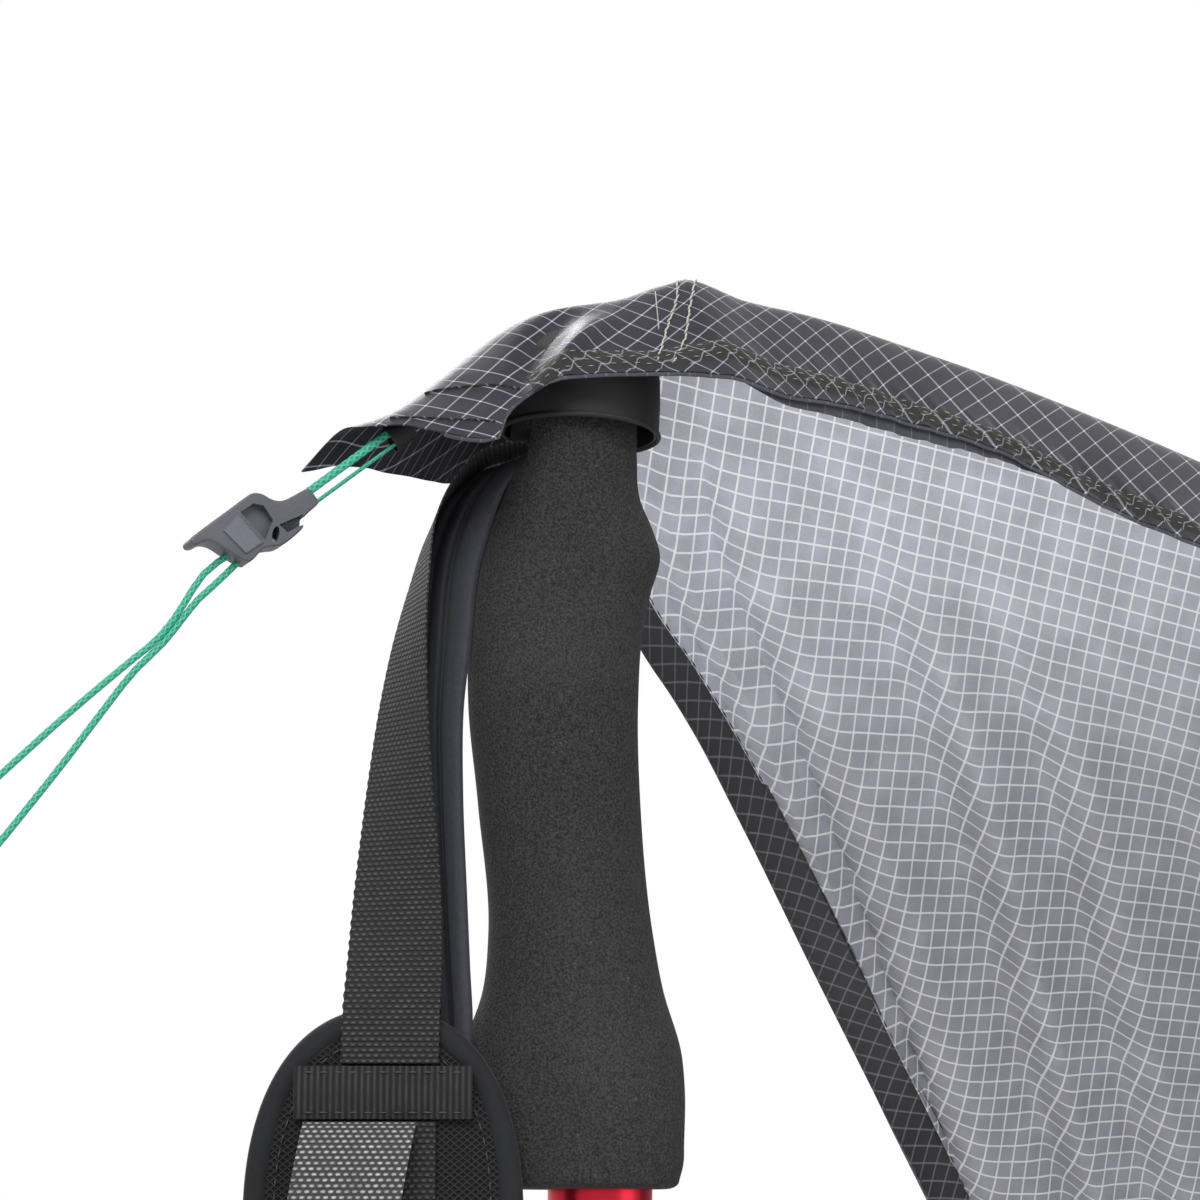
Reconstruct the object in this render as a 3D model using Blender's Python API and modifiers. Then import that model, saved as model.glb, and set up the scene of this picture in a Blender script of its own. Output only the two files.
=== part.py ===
"""Trekking pole tent: a wedge-shaped single-wall shelter pitched on one hiking pole.

The origin is the point of the pole on the ground. +X runs along the ridge to the
rear, -Y is the door side and +Z is up. Every piece is a separate object.
"""
import math

import bmesh
import bpy
import numpy as np
from mathutils import Matrix, Vector

# Clearances and cloth
GAP = 0.0003
SEAM = 0.0005
CLOTH = 0.0008
OVERRUN = 0.002

# Pitched canopy
PEAK_HEIGHT = 1.2005
PEAK_X = 0.018
RIDGE_REAR_X = 2.25
RIDGE_REAR_HEIGHT = 0.70
RIDGE_SAG = 0.030
RIDGE_ROUND = 0.004
FRONT_CORNER_X = 0.80
FRONT_CORNER_Y = 0.90
REAR_CORNER_X = 2.75
REAR_CORNER_Y = 0.50
BASE_LIFT = 0.0008
HEM_BOW = 0.075
FOLD_DEPTH = 0.007

# Peak hood, its beak and the door side strip
BEAK_REACH = 0.071
BEAK_DROP = 0.0343
HOOD_REAR_X = 0.20
STRIP_WIDTH = 0.020
FAR_LAP = 0.024
RIDGE_LAP = 0.010
LAP_START_X = 0.020
WALL_TOP_X = -0.004
DOOR_FOOT_X = 1.35
DOOR_START_X = 0.060
DOOR_CURVE_POWER = 1.6

# Hems and pockets
FRONT_HEM = 0.011
DOOR_HEM = 0.009
BASE_HEM = 0.014
REAR_SETBACK = 0.0011
POCKET_RADIUS = 0.0158
POCKET_CLOTH = 0.0010
POCKET_SHIFT = 0.0038
POCKET_LOW = 0.0312
REAR_POCKET_RADIUS = 0.0125
REAR_POCKET_LOW = 0.034
REAR_POCKET_INSET = 0.022

# Rolled door and its ties
ROLL_START_X = 0.30
ROLL_END_X = 1.22
ROLL_RADIUS_TOP = 0.012
ROLL_RADIUS_FOOT = 0.024
ROLL_BACK = 0.012
ROLL_FULL_SHARE = 1.03
ROLL_TIED_SHARE = 0.98
TIE_WIDTH = 0.012
TIE_CLOTH = 0.0010
TOGGLE_LENGTH = 0.022
TOGGLE_RADIUS = 0.0035

# Handle of the pole
HANDLE_YAW = math.radians(-20)
GRIP_LENGTH = 0.157
HEAD_RADIUS = 0.0126
HEAD_DEPTH = 0.0130
HEAD_SHIFT = 0.0052
GRIP_DEPTH = 0.0160
GRIP_BORE_DEPTH = 0.046
SLOT_WIDTH = 0.0200
SLOT_HEIGHT = 0.0086
SLOT_DEPTH = 0.0090
SLOT_BELOW_HEAD = 0.0068
PIN_RADIUS = 0.0011
PIN_FROM_SLOT_FLOOR = 0.0037

# Wrist strap
WEB_WIDTH = 0.0186
WEB_CLOTH = 0.0014
WEB_FALL = 0.1290
WEB_RISE = 0.0009
LINING_WIDTH = 0.0170
LINING_CLOTH = 0.0020
LINING_DROP = 0.0018
PAD_HALF_WIDTH = 0.0264
PAD_HALF_HEIGHT = 0.0400
PAD_HALF_DEPTH = 0.0026
PAD_BINDING = 0.0022
PAD_SHIFT = 0.0412
PAD_FORWARD = 0.0158
PAD_BELOW_HEAD = 0.1585
RIBBON_LENGTH = 0.0340
RIBBON_WIDTH = 0.0100
RIBBON_CLOTH = 0.0012
PAD_LOOP_WIDTH = 0.0270
PAD_LOOP_LENGTH = 0.0430
PAD_LOOP_RISE = 0.0030

# Pole tubes
UPPER_RADIUS = 0.0090
MID_RADIUS = 0.0080
LOW_RADIUS = 0.0070
TUBE_WALL = 0.0007
COLLAR_RADIUS = 0.0102
COLLAR_HEIGHT = 0.014
UPPER_END = 0.640
LOWER_END = 0.340
MID_INSERT = 0.200
LOW_INSERT = 0.180
TIP_HEIGHT = 0.030
TIP_RADIUS = 0.0030
FERRULE_HEIGHT = 0.050
FERRULE_RADIUS = 0.0082
BASKET_RADIUS = 0.026
BASKET_HEIGHT = 0.004
BASKET_HOLES = 6

# Lever clamps
CLAMP_HEIGHT = 0.034
CLAMP_WALL = 0.0030
EAR_REACH = 0.0060
EAR_HEIGHT = 0.0240
EAR_SLOT = 0.0150
LEVER_WALL = 0.0026
LEVER_HEIGHT = 0.0140
LEVER_SWEEP = math.radians(165)
HINGE_RADIUS = 0.0016
EYE_RADIUS = 0.0034

# Rear strut
STRUT_RADIUS = 0.0055
STRUT_LOW_RADIUS = 0.0045
STRUT_JOINT_HEIGHT = 0.30
STRUT_INSERT = 0.060
STRUT_CAP_RADIUS = 0.0085
STRUT_CAP_HEIGHT = 0.014
STRUT_FOOT_RADIUS = 0.0120
STRUT_FOOT_HEIGHT = 0.010

# Guyline, its lock and the stakes
CORD_RADIUS = 0.0010
STRAND_SPACING = 0.0025
GUY_RUN = 1.143
GUY_TOP_X = -0.0410
GUY_LOCK_X = -0.0691
GUY_LOCK_DROP = 0.0561
GUY_SLACK = 0.055
LOCK_LENGTH = 0.0245
LOCK_HEIGHT = 0.0132
LOCK_WIDTH = 0.0120
LOCK_RISE = 0.0015
LOCK_PLAY = 0.0010
LOCK_EDGE = 0.0006
STAKE_RADIUS = 0.00175
STAKE_LENGTH = 0.160
HOOK_RADIUS = 0.0090
LOOP_WIDTH = 0.010
LOOP_LENGTH = 0.034
LOOP_CLOTH = 0.0008
GUY_LOOP_WALL = 0.0006
GUY_LOOP_WIDTH = 0.005

TURN = 2 * math.pi

# Crest of the beak from the peak forwards, and how wide it is on the door side:
# reach, drop below the peak and near width, as shares of BEAK_REACH, BEAK_DROP
# and STRIP_WIDTH, and the far width as a share of FAR_LAP.
BEAK_SHARES = [
    (1.000, 1.000, 0.20, 0.24), (0.930, 0.944, 0.24, 0.28),
    (0.849, 0.856, 0.36, 0.42), (0.754, 0.703, 0.62, 0.66),
    (0.640, 0.500, 0.82, 0.88), (0.560, 0.360, 0.78, 0.95),
    (0.494, 0.276, 0.755, 0.97), (0.375, 0.180, 0.77, 0.99),
    (0.3099, 0.150, 0.785, 1.00), (0.210, 0.110, 0.82, 0.82),
    (0.100, 0.035, 0.89, 0.60), (0.000, 0.000, 0.96, 0.4333),
]

# Grip from the head down: depth below the head's centre as a share of GRIP_LENGTH,
# shift towards the palm and half width as shares of HEAD_RADIUS, half depth as a
# share of GRIP_DEPTH.
GRIP_SHARES = [
    (0.000, 0.413, 1.000, 0.812), (0.045, 0.450, 1.040, 0.820),
    (0.100, 0.510, 1.150, 0.850), (0.140, 0.500, 1.340, 0.890),
    (0.170, 0.489, 1.441, 0.910), (0.225, 0.623, 1.417, 0.920),
    (0.270, 0.698, 1.381, 0.920), (0.360, 0.740, 1.345, 0.920),
    (0.490, 0.643, 1.278, 0.900), (0.655, 0.460, 1.286, 0.900),
    (0.725, 0.421, 1.405, 0.925), (0.805, 0.437, 1.706, 0.975),
    (0.850, 0.437, 1.754, 1.000), (0.915, 0.341, 1.643, 0.980),
    (0.975, 0.183, 1.340, 0.900), (1.000, 0.103, 1.150, 0.820),
]

# Wrist strap strands below the slot: the way from the slot's mouth to the pad's
# middle, the way from the pin's plane to the pad's face, the fall below the head's
# centre as a share of WEB_FALL, and the twist as a share of a quarter turn.
WEB_SHARES = [
    (0.265, 0.01, 0.060, 0.00), (0.487, 0.03, 0.107, 0.02), (0.641, 0.06, 0.172, 0.05),
    (0.752, 0.11, 0.256, 0.13), (0.825, 0.19, 0.335, 0.21), (0.872, 0.26, 0.409, 0.29),
    (0.906, 0.34, 0.481, 0.36), (0.915, 0.49, 0.589, 0.48), (0.910, 0.61, 0.667, 0.60),
    (0.915, 0.78, 0.771, 0.76), (0.923, 0.93, 0.860, 0.90), (0.940, 1.00, 0.922, 1.00),
    (0.949, 1.00, 1.000, 1.00),
]
LINING_SHARES = [
    (0.145, -0.015, 0.078, 0.00), (0.222, -0.041, 0.105, 0.00), (0.269, -0.082, 0.147, 0.00),
    (0.393, -0.134, 0.233, 0.04), (0.509, -0.175, 0.341, 0.13), (0.594, -0.227, 0.457, 0.23),
    (0.632, -0.237, 0.591, 0.37), (0.645, -0.134, 0.667, 0.48), (0.679, 0.258, 0.767, 0.68),
    (0.692, 0.629, 0.860, 0.90), (0.679, 0.804, 0.912, 1.00),
]

# Side view of the line lock in shares of LOCK_LENGTH along the cord, towards the
# peak, and of LOCK_HEIGHT away from it.
LOCK_SHARES = [
    (-0.50, 0.54), (-0.51, 0.44), (-0.39, 0.32), (-0.34, 0.02), (-0.28, -0.30),
    (-0.10, -0.29), (0.02, -0.43), (0.24, -0.46), (0.31, -0.34), (0.485, -0.34),
    (0.505, -0.08), (0.27, 0.05), (0.17, 0.38), (0.10, 0.45), (-0.06, 0.26),
    (-0.22, 0.30), (-0.38, 0.52),
]


def named_collection(name):
    """A collection linked to the scene, made when it is missing."""
    found = bpy.data.collections.get(name)
    if found is None:
        found = bpy.data.collections.new(name)
        bpy.context.scene.collection.children.link(found)
    return found


def material(name, color, roughness, metallic=0.0):
    """A Principled material with one colour."""
    mat = bpy.data.materials.new(name)
    mat.use_nodes = True
    shader = mat.node_tree.nodes["Principled BSDF"]
    shader.inputs["Base Color"].default_value = (*color, 1.0)
    shader.inputs["Roughness"].default_value = roughness
    shader.inputs["Metallic"].default_value = metallic
    return mat


def keep(obj, mat, smooth=True):
    """Put a finished part in the tent's collection with its material."""
    for owner in list(obj.users_collection):
        owner.objects.unlink(obj)
    named_collection("trekking_pole_tent").objects.link(obj)
    obj.data.materials.clear()
    obj.data.materials.append(mat)
    if smooth and obj.type == "MESH":
        obj.data.shade_smooth()
        obj.data.set_sharp_from_angle(angle=math.radians(35))
    return obj


def as_cutter(obj):
    """Hide an object that only cuts others."""
    for owner in list(obj.users_collection):
        owner.objects.unlink(obj)
    named_collection("cutters").objects.link(obj)
    obj.hide_render = True
    obj.display_type = "WIRE"
    return obj


def boolean(obj, other, operation="DIFFERENCE"):
    """Cut or join a part with another mesh by an exact Boolean."""
    mod = obj.modifiers.new(operation.lower(), "BOOLEAN")
    mod.operation = operation
    mod.solver = "EXACT"
    mod.object = as_cutter(other)
    return mod


def new_object(name, bm):
    """An object from a bmesh, linked to the scene."""
    mesh = bpy.data.meshes.new(name)
    bm.to_mesh(mesh)
    bm.free()
    obj = bpy.data.objects.new(name, mesh)
    bpy.context.scene.collection.objects.link(obj)
    return obj


def solidify(obj, thickness, offset=-1.0):
    """Give an open surface its thickness."""
    mod = obj.modifiers.new("thickness", "SOLIDIFY")
    mod.thickness = thickness
    mod.offset = offset
    mod.use_even_offset = True
    return mod


def sheet(name, grid, thickness, towards, offset=-1.0):
    """A cloth panel: a grid of points, facing a direction, with a thickness."""
    rows, columns = len(grid), len(grid[0])
    bm = bmesh.new()
    verts = [[bm.verts.new(point) for point in row] for row in grid]
    for i in range(rows - 1):
        for j in range(columns - 1):
            bm.faces.new((verts[i][j], verts[i][j + 1], verts[i + 1][j + 1], verts[i + 1][j]))
    bm.normal_update()
    facing = sum((face.normal * face.calc_area() for face in bm.faces), Vector())
    if facing.dot(Vector(towards)) < 0:
        bmesh.ops.reverse_faces(bm, faces=bm.faces[:])
    obj = new_object(name, bm)
    solidify(obj, thickness, offset)
    return obj


def loft(name, rings, close_start=True, close_end=True):
    """A skin through rings of equal count, in order, with its ends closed or open."""
    bm = bmesh.new()
    verts = [[bm.verts.new(point) for point in ring] for ring in rings]
    count = len(rings[0])
    for low, high in zip(verts[:-1], verts[1:]):
        for k in range(count):
            after = (k + 1) % count
            bm.faces.new((low[k], low[after], high[after], high[k]))
    if close_start:
        bm.faces.new(verts[0])
    if close_end:
        bm.faces.new(verts[-1])
    bmesh.ops.recalc_face_normals(bm, faces=bm.faces[:])
    return new_object(name, bm)


def turned(name, profile, segments=32, location=(0, 0, 0)):
    """A profile of radius and height pairs, outer side first, turned about Z."""
    bm = bmesh.new()
    verts = [bm.verts.new((radius, 0, height)) for radius, height in profile]
    for first, second in zip(verts[:-1], verts[1:]):
        bm.edges.new((first, second))
    if profile[0][0] > 0:
        bm.edges.new((verts[-1], verts[0]))
    obj = new_object(name, bm)
    mod = obj.modifiers.new("turn", "SCREW")
    mod.steps = segments
    mod.render_steps = segments
    mod.use_merge_vertices = True
    mod.merge_threshold = 0.00001
    obj.location = location
    return obj


def tube(name, outer, inner, low, high, segments=32):
    """An open tube about the pole's axis."""
    profile = [(outer, high), (outer, low), (inner, low), (inner, high)]
    return turned(name, profile, segments)


def smooth_route(points, count):
    """Points read at even steps from a Catmull-Rom curve through a route."""
    points = np.asarray(points, float)
    padded = np.vstack([2 * points[0] - points[1], points, 2 * points[-1] - points[-2]])
    dense = []
    for k in range(1, len(padded) - 2):
        before, start, end, after = padded[k - 1:k + 3]
        for t in np.linspace(0, 1, 24, endpoint=False):
            dense.append(0.5 * (2 * start + (end - before) * t
                                + (2 * before - 5 * start + 4 * end - after) * t ** 2
                                + (3 * start - before - 3 * end + after) * t ** 3))
    dense.append(padded[-2])
    dense = np.array(dense)
    along = np.r_[0, np.cumsum(np.linalg.norm(np.diff(dense[:, :3], axis=0), axis=1))]
    places = np.linspace(0, along[-1], count)
    return np.stack([np.interp(places, along, column) for column in dense.T], axis=1)


def wire(name, points, radius, resolution=2, cyclic=False):
    """A round tube along points, as a poly curve with a bevel."""
    curve = bpy.data.curves.new(name, "CURVE")
    curve.dimensions = "3D"
    curve.bevel_depth = radius
    curve.bevel_resolution = resolution
    curve.use_fill_caps = not cyclic
    spline = curve.splines.new("POLY")
    spline.points.add(len(points) - 1)
    spline.use_cyclic_u = cyclic
    for spot, point in zip(spline.points, points):
        spot.co = (*point, 1.0)
    obj = bpy.data.objects.new(name, curve)
    bpy.context.scene.collection.objects.link(obj)
    return obj


def curve_to_mesh(obj):
    """A mesh object in the place of a curve object, with its caps welded."""
    name = obj.name
    bpy.context.view_layer.update()
    evaluated = obj.evaluated_get(bpy.context.evaluated_depsgraph_get())
    mesh = bpy.data.meshes.new_from_object(evaluated)
    bm = bmesh.new()
    bm.from_mesh(mesh)
    bmesh.ops.remove_doubles(bm, verts=bm.verts[:], dist=0.00001)
    bm.to_mesh(mesh)
    bm.free()
    place = obj.matrix_world.copy()
    bpy.data.objects.remove(obj)
    made = bpy.data.objects.new(name, mesh)
    made.name = name
    made.matrix_world = place
    bpy.context.scene.collection.objects.link(made)
    return made


def outline_solid(name, points, half_thickness, edge=0.0):
    """A flat outline with a thickness, in its own XY plane."""
    curve = bpy.data.curves.new(name, "CURVE")
    curve.dimensions = "2D"
    curve.fill_mode = "BOTH"
    curve.extrude = half_thickness - edge
    curve.bevel_depth = edge
    curve.bevel_resolution = 1
    curve.offset = -edge
    spline = curve.splines.new("POLY")
    spline.points.add(len(points) - 1)
    spline.use_cyclic_u = True
    for spot, (across, up) in zip(spline.points, points):
        spot.co = (across, up, 0.0, 1.0)
    obj = bpy.data.objects.new(name, curve)
    bpy.context.scene.collection.objects.link(obj)
    return curve_to_mesh(obj)


def box(name, size, centre, turn=None):
    """A block of a size about a centre, with an optional rotation matrix."""
    bm = bmesh.new()
    bmesh.ops.create_cube(bm, size=1.0)
    bmesh.ops.scale(bm, vec=size, verts=bm.verts[:])
    if turn is not None:
        bmesh.ops.rotate(bm, cent=(0, 0, 0), matrix=turn, verts=bm.verts[:])
    bmesh.ops.translate(bm, vec=centre, verts=bm.verts[:])
    return new_object(name, bm)


def cylinder(name, radius, depth, centre, turn=None, segments=24):
    """A cylinder about a centre, along Z before its rotation."""
    bm = bmesh.new()
    bmesh.ops.create_cone(bm, cap_ends=True, segments=segments,
                          radius1=radius, radius2=radius, depth=depth)
    if turn is not None:
        bmesh.ops.rotate(bm, cent=(0, 0, 0), matrix=turn, verts=bm.verts[:])
    bmesh.ops.translate(bm, vec=centre, verts=bm.verts[:])
    return new_object(name, bm)


def base_width(x):
    """Half the tent's width on the ground at a place along the ridge."""
    share = (x - FRONT_CORNER_X) / (REAR_CORNER_X - FRONT_CORNER_X)
    return FRONT_CORNER_Y + (REAR_CORNER_Y - FRONT_CORNER_Y) * share


def ridge_height(x):
    """Crest height: the beak's profile in front of the peak, the sagging ridge behind."""
    if x < PEAK_X:
        reach = (PEAK_X - x) / BEAK_REACH
        shares = np.array(BEAK_SHARES)[::-1]
        return PEAK_HEIGHT - BEAK_DROP * np.interp(reach, shares[:, 0], shares[:, 1])
    share = (x - PEAK_X) / (RIDGE_REAR_X - PEAK_X)
    sag = 4 * RIDGE_SAG * share * max(1 - share, 0)
    return PEAK_HEIGHT + (RIDGE_REAR_HEIGHT - PEAK_HEIGHT) * share - sag


def canopy_height(x, y):
    """Height of the outer cloth over a plan point."""
    rounded = math.hypot(y, RIDGE_ROUND) - RIDGE_ROUND
    whole = math.hypot(base_width(x), RIDGE_ROUND) - RIDGE_ROUND
    return BASE_LIFT + (ridge_height(x) - BASE_LIFT) * (1 - rounded / whole)


def canopy_point(x, y, sink=0.0):
    """A point of the outer cloth, sunk straight down by a depth."""
    return (x, y, canopy_height(x, y) - sink)


def pitch_stretch(x):
    """How much longer a vertical step through the cloth is than its thickness."""
    pitch = ridge_height(x) / base_width(x)
    slope = (PEAK_HEIGHT - RIDGE_REAR_HEIGHT) / (RIDGE_REAR_X - PEAK_X)
    return math.sqrt(1 + pitch ** 2 + slope ** 2)


def far_lap(x):
    """How far the hood and the ridge seam reach down the far side, in plan."""
    if x >= LAP_START_X:
        return RIDGE_LAP
    if x >= WALL_TOP_X:
        share = (x - WALL_TOP_X) / (LAP_START_X - WALL_TOP_X)
        return FAR_LAP + (RIDGE_LAP - FAR_LAP) * share
    reach = (PEAK_X - x) / BEAK_REACH
    shares = np.array(BEAK_SHARES)[::-1]
    return FAR_LAP * np.interp(reach, shares[:, 0], shares[:, 3])


def door_edge(x):
    """Plan distance from the ridge to the door edge on the near side."""
    if x < PEAK_X:
        reach = (PEAK_X - x) / BEAK_REACH
        shares = np.array(BEAK_SHARES)[::-1]
        return STRIP_WIDTH * np.interp(reach, shares[:, 0], shares[:, 2])
    share = max(x - DOOR_START_X, 0) / (DOOR_FOOT_X - DOOR_START_X)
    start = STRIP_WIDTH * (0.96 + 0.04 * min((x - PEAK_X) / (DOOR_START_X - PEAK_X), 1))
    return start + (base_width(DOOR_FOOT_X) - STRIP_WIDTH) * share ** DOOR_CURVE_POWER


def make_hood(mats):
    """Doubled cloth over the pole's head: the beak, the crest and the door strip."""
    stations = [PEAK_X - BEAK_REACH * row[0] for row in BEAK_SHARES]
    stations += [LAP_START_X]
    stations += list(np.linspace(LAP_START_X, HOOD_REAR_X, 11)[1:])
    across = np.array([-1, -0.7, -0.35, -0.14, 0, 0.14, 0.35, 0.7, 1])
    grid = []
    for x in stations:
        near, far = door_edge(x), far_lap(x)
        grid.append([canopy_point(x, t * (near if t < 0 else far)) for t in across])
    keep(sheet("peak_hood", grid, CLOTH, (0, 0, 1)), mats["hood"])


def make_ridge_seam(mats):
    """Bound seam along the ridge from the hood to the rear peak."""
    grid = []
    for x in np.linspace(HOOD_REAR_X + SEAM, RIDGE_REAR_X, 18):
        grid.append([canopy_point(x, t * RIDGE_LAP) for t in (-1, -0.4, 0, 0.4, 1)])
    keep(sheet("ridge_seam", grid, CLOTH, (0, 0, 1)), mats["hem"])


def far_plan(along, down):
    """Plan point of the far wall: along the ridge 0..1 and down the wall 0..1."""
    top_x = WALL_TOP_X + (RIDGE_REAR_X - WALL_TOP_X) * along
    foot_x = FRONT_CORNER_X + (REAR_CORNER_X - FRONT_CORNER_X) * along
    top_y = far_lap(top_x) + SEAM
    foot_y = base_width(foot_x)
    bow = HEM_BOW * 4 * down * (1 - down) * (1 - along) ** 2
    return top_x + (foot_x - top_x) * down + bow, top_y + (foot_y - top_y) * down


def fold_depth(along, down):
    """Main folds that fan from the peak and lie beside the front hem."""
    fade = math.sin(math.pi * min(down * 1.15, 1)) * math.exp(-3.2 * along)
    edge = 1 - math.exp(-60 * along)
    return FOLD_DEPTH * fade * edge * math.sin(TURN * 3.4 * math.sqrt(along))


def far_patch(along_values, down_values):
    """Grid of points of the far wall."""
    grid = []
    for down in down_values:
        row = []
        for along in along_values:
            x, y = far_plan(along, down)
            row.append(canopy_point(x, y, fold_depth(along, down)))
        grid.append(row)
    return grid


def make_far_wall(mats):
    """Closed side of the tent, with the hemmed front edge and the hem on the ground."""
    length = RIDGE_REAR_X - WALL_TOP_X
    hem_share = FRONT_HEM / length
    start = hem_share + SEAM / length * 1.6
    end = 1 - REAR_SETBACK / length * 1.8
    along = start + (end - start) * np.linspace(0, 1, 27) ** 1.7
    foot = 1 - BASE_HEM / FRONT_CORNER_Y
    down = np.linspace(0, 1, 15) ** 1.15 * (foot - SEAM / FRONT_CORNER_Y * 1.4)
    keep(sheet("far_wall", far_patch(along, down), CLOTH, (0, 1, 1)), mats["wall"])
    hem_down = np.linspace(0, 1, 25) ** 1.1
    hem = far_patch((0, hem_share), hem_down)
    keep(sheet("far_front_hem", hem, CLOTH, (0, 1, 1)), mats["hem"])
    low = far_patch(np.linspace(start, end, 20), (foot, 1))
    keep(sheet("far_base_hem", low, CLOTH, (0, 1, 1)), mats["hem"])


def near_plan(edge_x, down, inner):
    """Plan point of the near wall between the ridge seam and its lower edge."""
    share = (edge_x - HOOD_REAR_X) / (REAR_CORNER_X - HOOD_REAR_X)
    top_x = HOOD_REAR_X + (RIDGE_REAR_X - HOOD_REAR_X) * share
    top_y = RIDGE_LAP + SEAM
    if edge_x <= DOOR_FOOT_X:
        low_y = door_edge(edge_x)
    else:
        low_y = base_width(edge_x)
    low_y -= inner
    return top_x + (edge_x - top_x) * down, -(top_y + (low_y - top_y) * down)


def near_patch(edges, downs, inner):
    """Grid of points of the near wall."""
    grid = []
    for down in downs:
        grid.append([canopy_point(*near_plan(x, down, inner)) for x in edges])
    return grid


def make_near_wall(mats):
    """Door side of the tent behind the doorway, with its door edge and ground hems."""
    start = HOOD_REAR_X + SEAM
    end = REAR_CORNER_X - REAR_SETBACK * 1.8
    corner = DOOR_FOOT_X
    door_places = np.linspace(start, corner, 21)
    base_places = np.linspace(corner + SEAM, end, 13)
    inner = DOOR_HEM + SEAM
    places = np.r_[door_places, base_places]
    keep(sheet("near_wall", near_patch(places, np.linspace(0, 1, 8), inner), CLOTH,
               (0, -1, 1)), mats["wall"])
    for name, stations in (("door_edge_hem", door_places), ("near_base_hem", base_places)):
        within = near_patch(stations, (1,), DOOR_HEM)[0]
        outer = near_patch(stations, (1,), 0)[0]
        keep(sheet(name, [within, outer], CLOTH, (0, -1, 1)), mats["hem"])


def rear_edge(down, inset):
    """Point of the far rear edge, moved in towards the tent's middle."""
    x = RIDGE_REAR_X + (REAR_CORNER_X - RIDGE_REAR_X) * down
    y = RIDGE_LAP + (REAR_CORNER_Y - RIDGE_LAP) * down
    return Vector((x, y - inset, canopy_height(x, y)))


def make_rear_wall(mats):
    """Sloping rear wall between the two rear edges, with its hem."""
    foot = 1 - BASE_HEM / REAR_CORNER_Y
    spans = np.linspace(-1, 1, 13)

    def rows(downs):
        """Level rows of points across the rear wall."""
        grid = []
        for down in downs:
            point = rear_edge(down, REAR_SETBACK * 2)
            grid.append([(point.x, point.y * t, point.z) for t in spans])
        return grid

    first = REAR_SETBACK * 3 / REAR_CORNER_Y
    downs = np.linspace(first, foot - SEAM / REAR_CORNER_Y, 10)
    keep(sheet("rear_wall", rows(downs), CLOTH, (1, 0, 1)), mats["wall"])
    hem = rows((foot + SEAM / REAR_CORNER_Y, 1))
    keep(sheet("rear_base_hem", hem, CLOTH, (1, 0, 1)), mats["hem"])


def roof_height(x, y):
    """Height just under the canopy cloth at a plan point."""
    return canopy_height(x, y) - (CLOTH + GAP) * pitch_stretch(x)


def make_pocket(name, centre_x, centre_y, radius, low, mats):
    """Pocket that takes a pole's head: a band closed by a roof under the canopy."""
    sides = 20
    angles = [TURN * k / sides for k in range(sides)]

    def ring(share, lift):
        """Ring of the pocket at a share of its radius."""
        points = []
        for angle in angles:
            x = centre_x + radius * share * math.cos(angle)
            y = centre_y + radius * share * math.sin(angle)
            top = roof_height(x, y)
            points.append((x, y, low + (top - low) * lift))
        return points

    rings = [ring(1, 0), ring(1, 0.6), ring(1, 1), ring(0.7, 1), ring(0.35, 1), ring(0.1, 1)]
    obj = loft(name, rings, close_start=False)
    solidify(obj, POCKET_CLOTH)
    keep(obj, mats["pocket"])


def handle_point(palm, door, height):
    """World point from the handle's frame: to the palm side, to the door, up."""
    across = Vector((math.cos(HANDLE_YAW), math.sin(HANDLE_YAW), 0))
    away = Vector((-math.sin(HANDLE_YAW), math.cos(HANDLE_YAW), 0))
    return -palm * across - door * away + Vector((0, 0, height))


def head_centre_height():
    """Height of the head's centre, so that its dome bears under the pocket's roof."""
    spot = handle_point(HEAD_SHIFT, 0, 0)
    roof = roof_height(spot.x, spot.y) - (POCKET_CLOTH + GAP) * pitch_stretch(spot.x)
    crest_fall = abs(ridge_height(spot.x + HEAD_RADIUS / 2)
                     - ridge_height(spot.x - HEAD_RADIUS / 2)) / HEAD_RADIUS
    lean = math.hypot(pitch_stretch(spot.x), crest_fall)
    return roof - HEAD_DEPTH * lean


HEAD_HEIGHT = head_centre_height()
GRIP_FOOT = HEAD_HEIGHT - GRIP_LENGTH


def grip_ring(palm, half_width, half_depth, height, sides=24):
    """Oval ring of the grip."""
    ring = []
    for k in range(sides):
        angle = TURN * k / sides
        ring.append(handle_point(palm + half_width * math.cos(angle),
                                 half_depth * math.sin(angle), height))
    return ring


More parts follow.
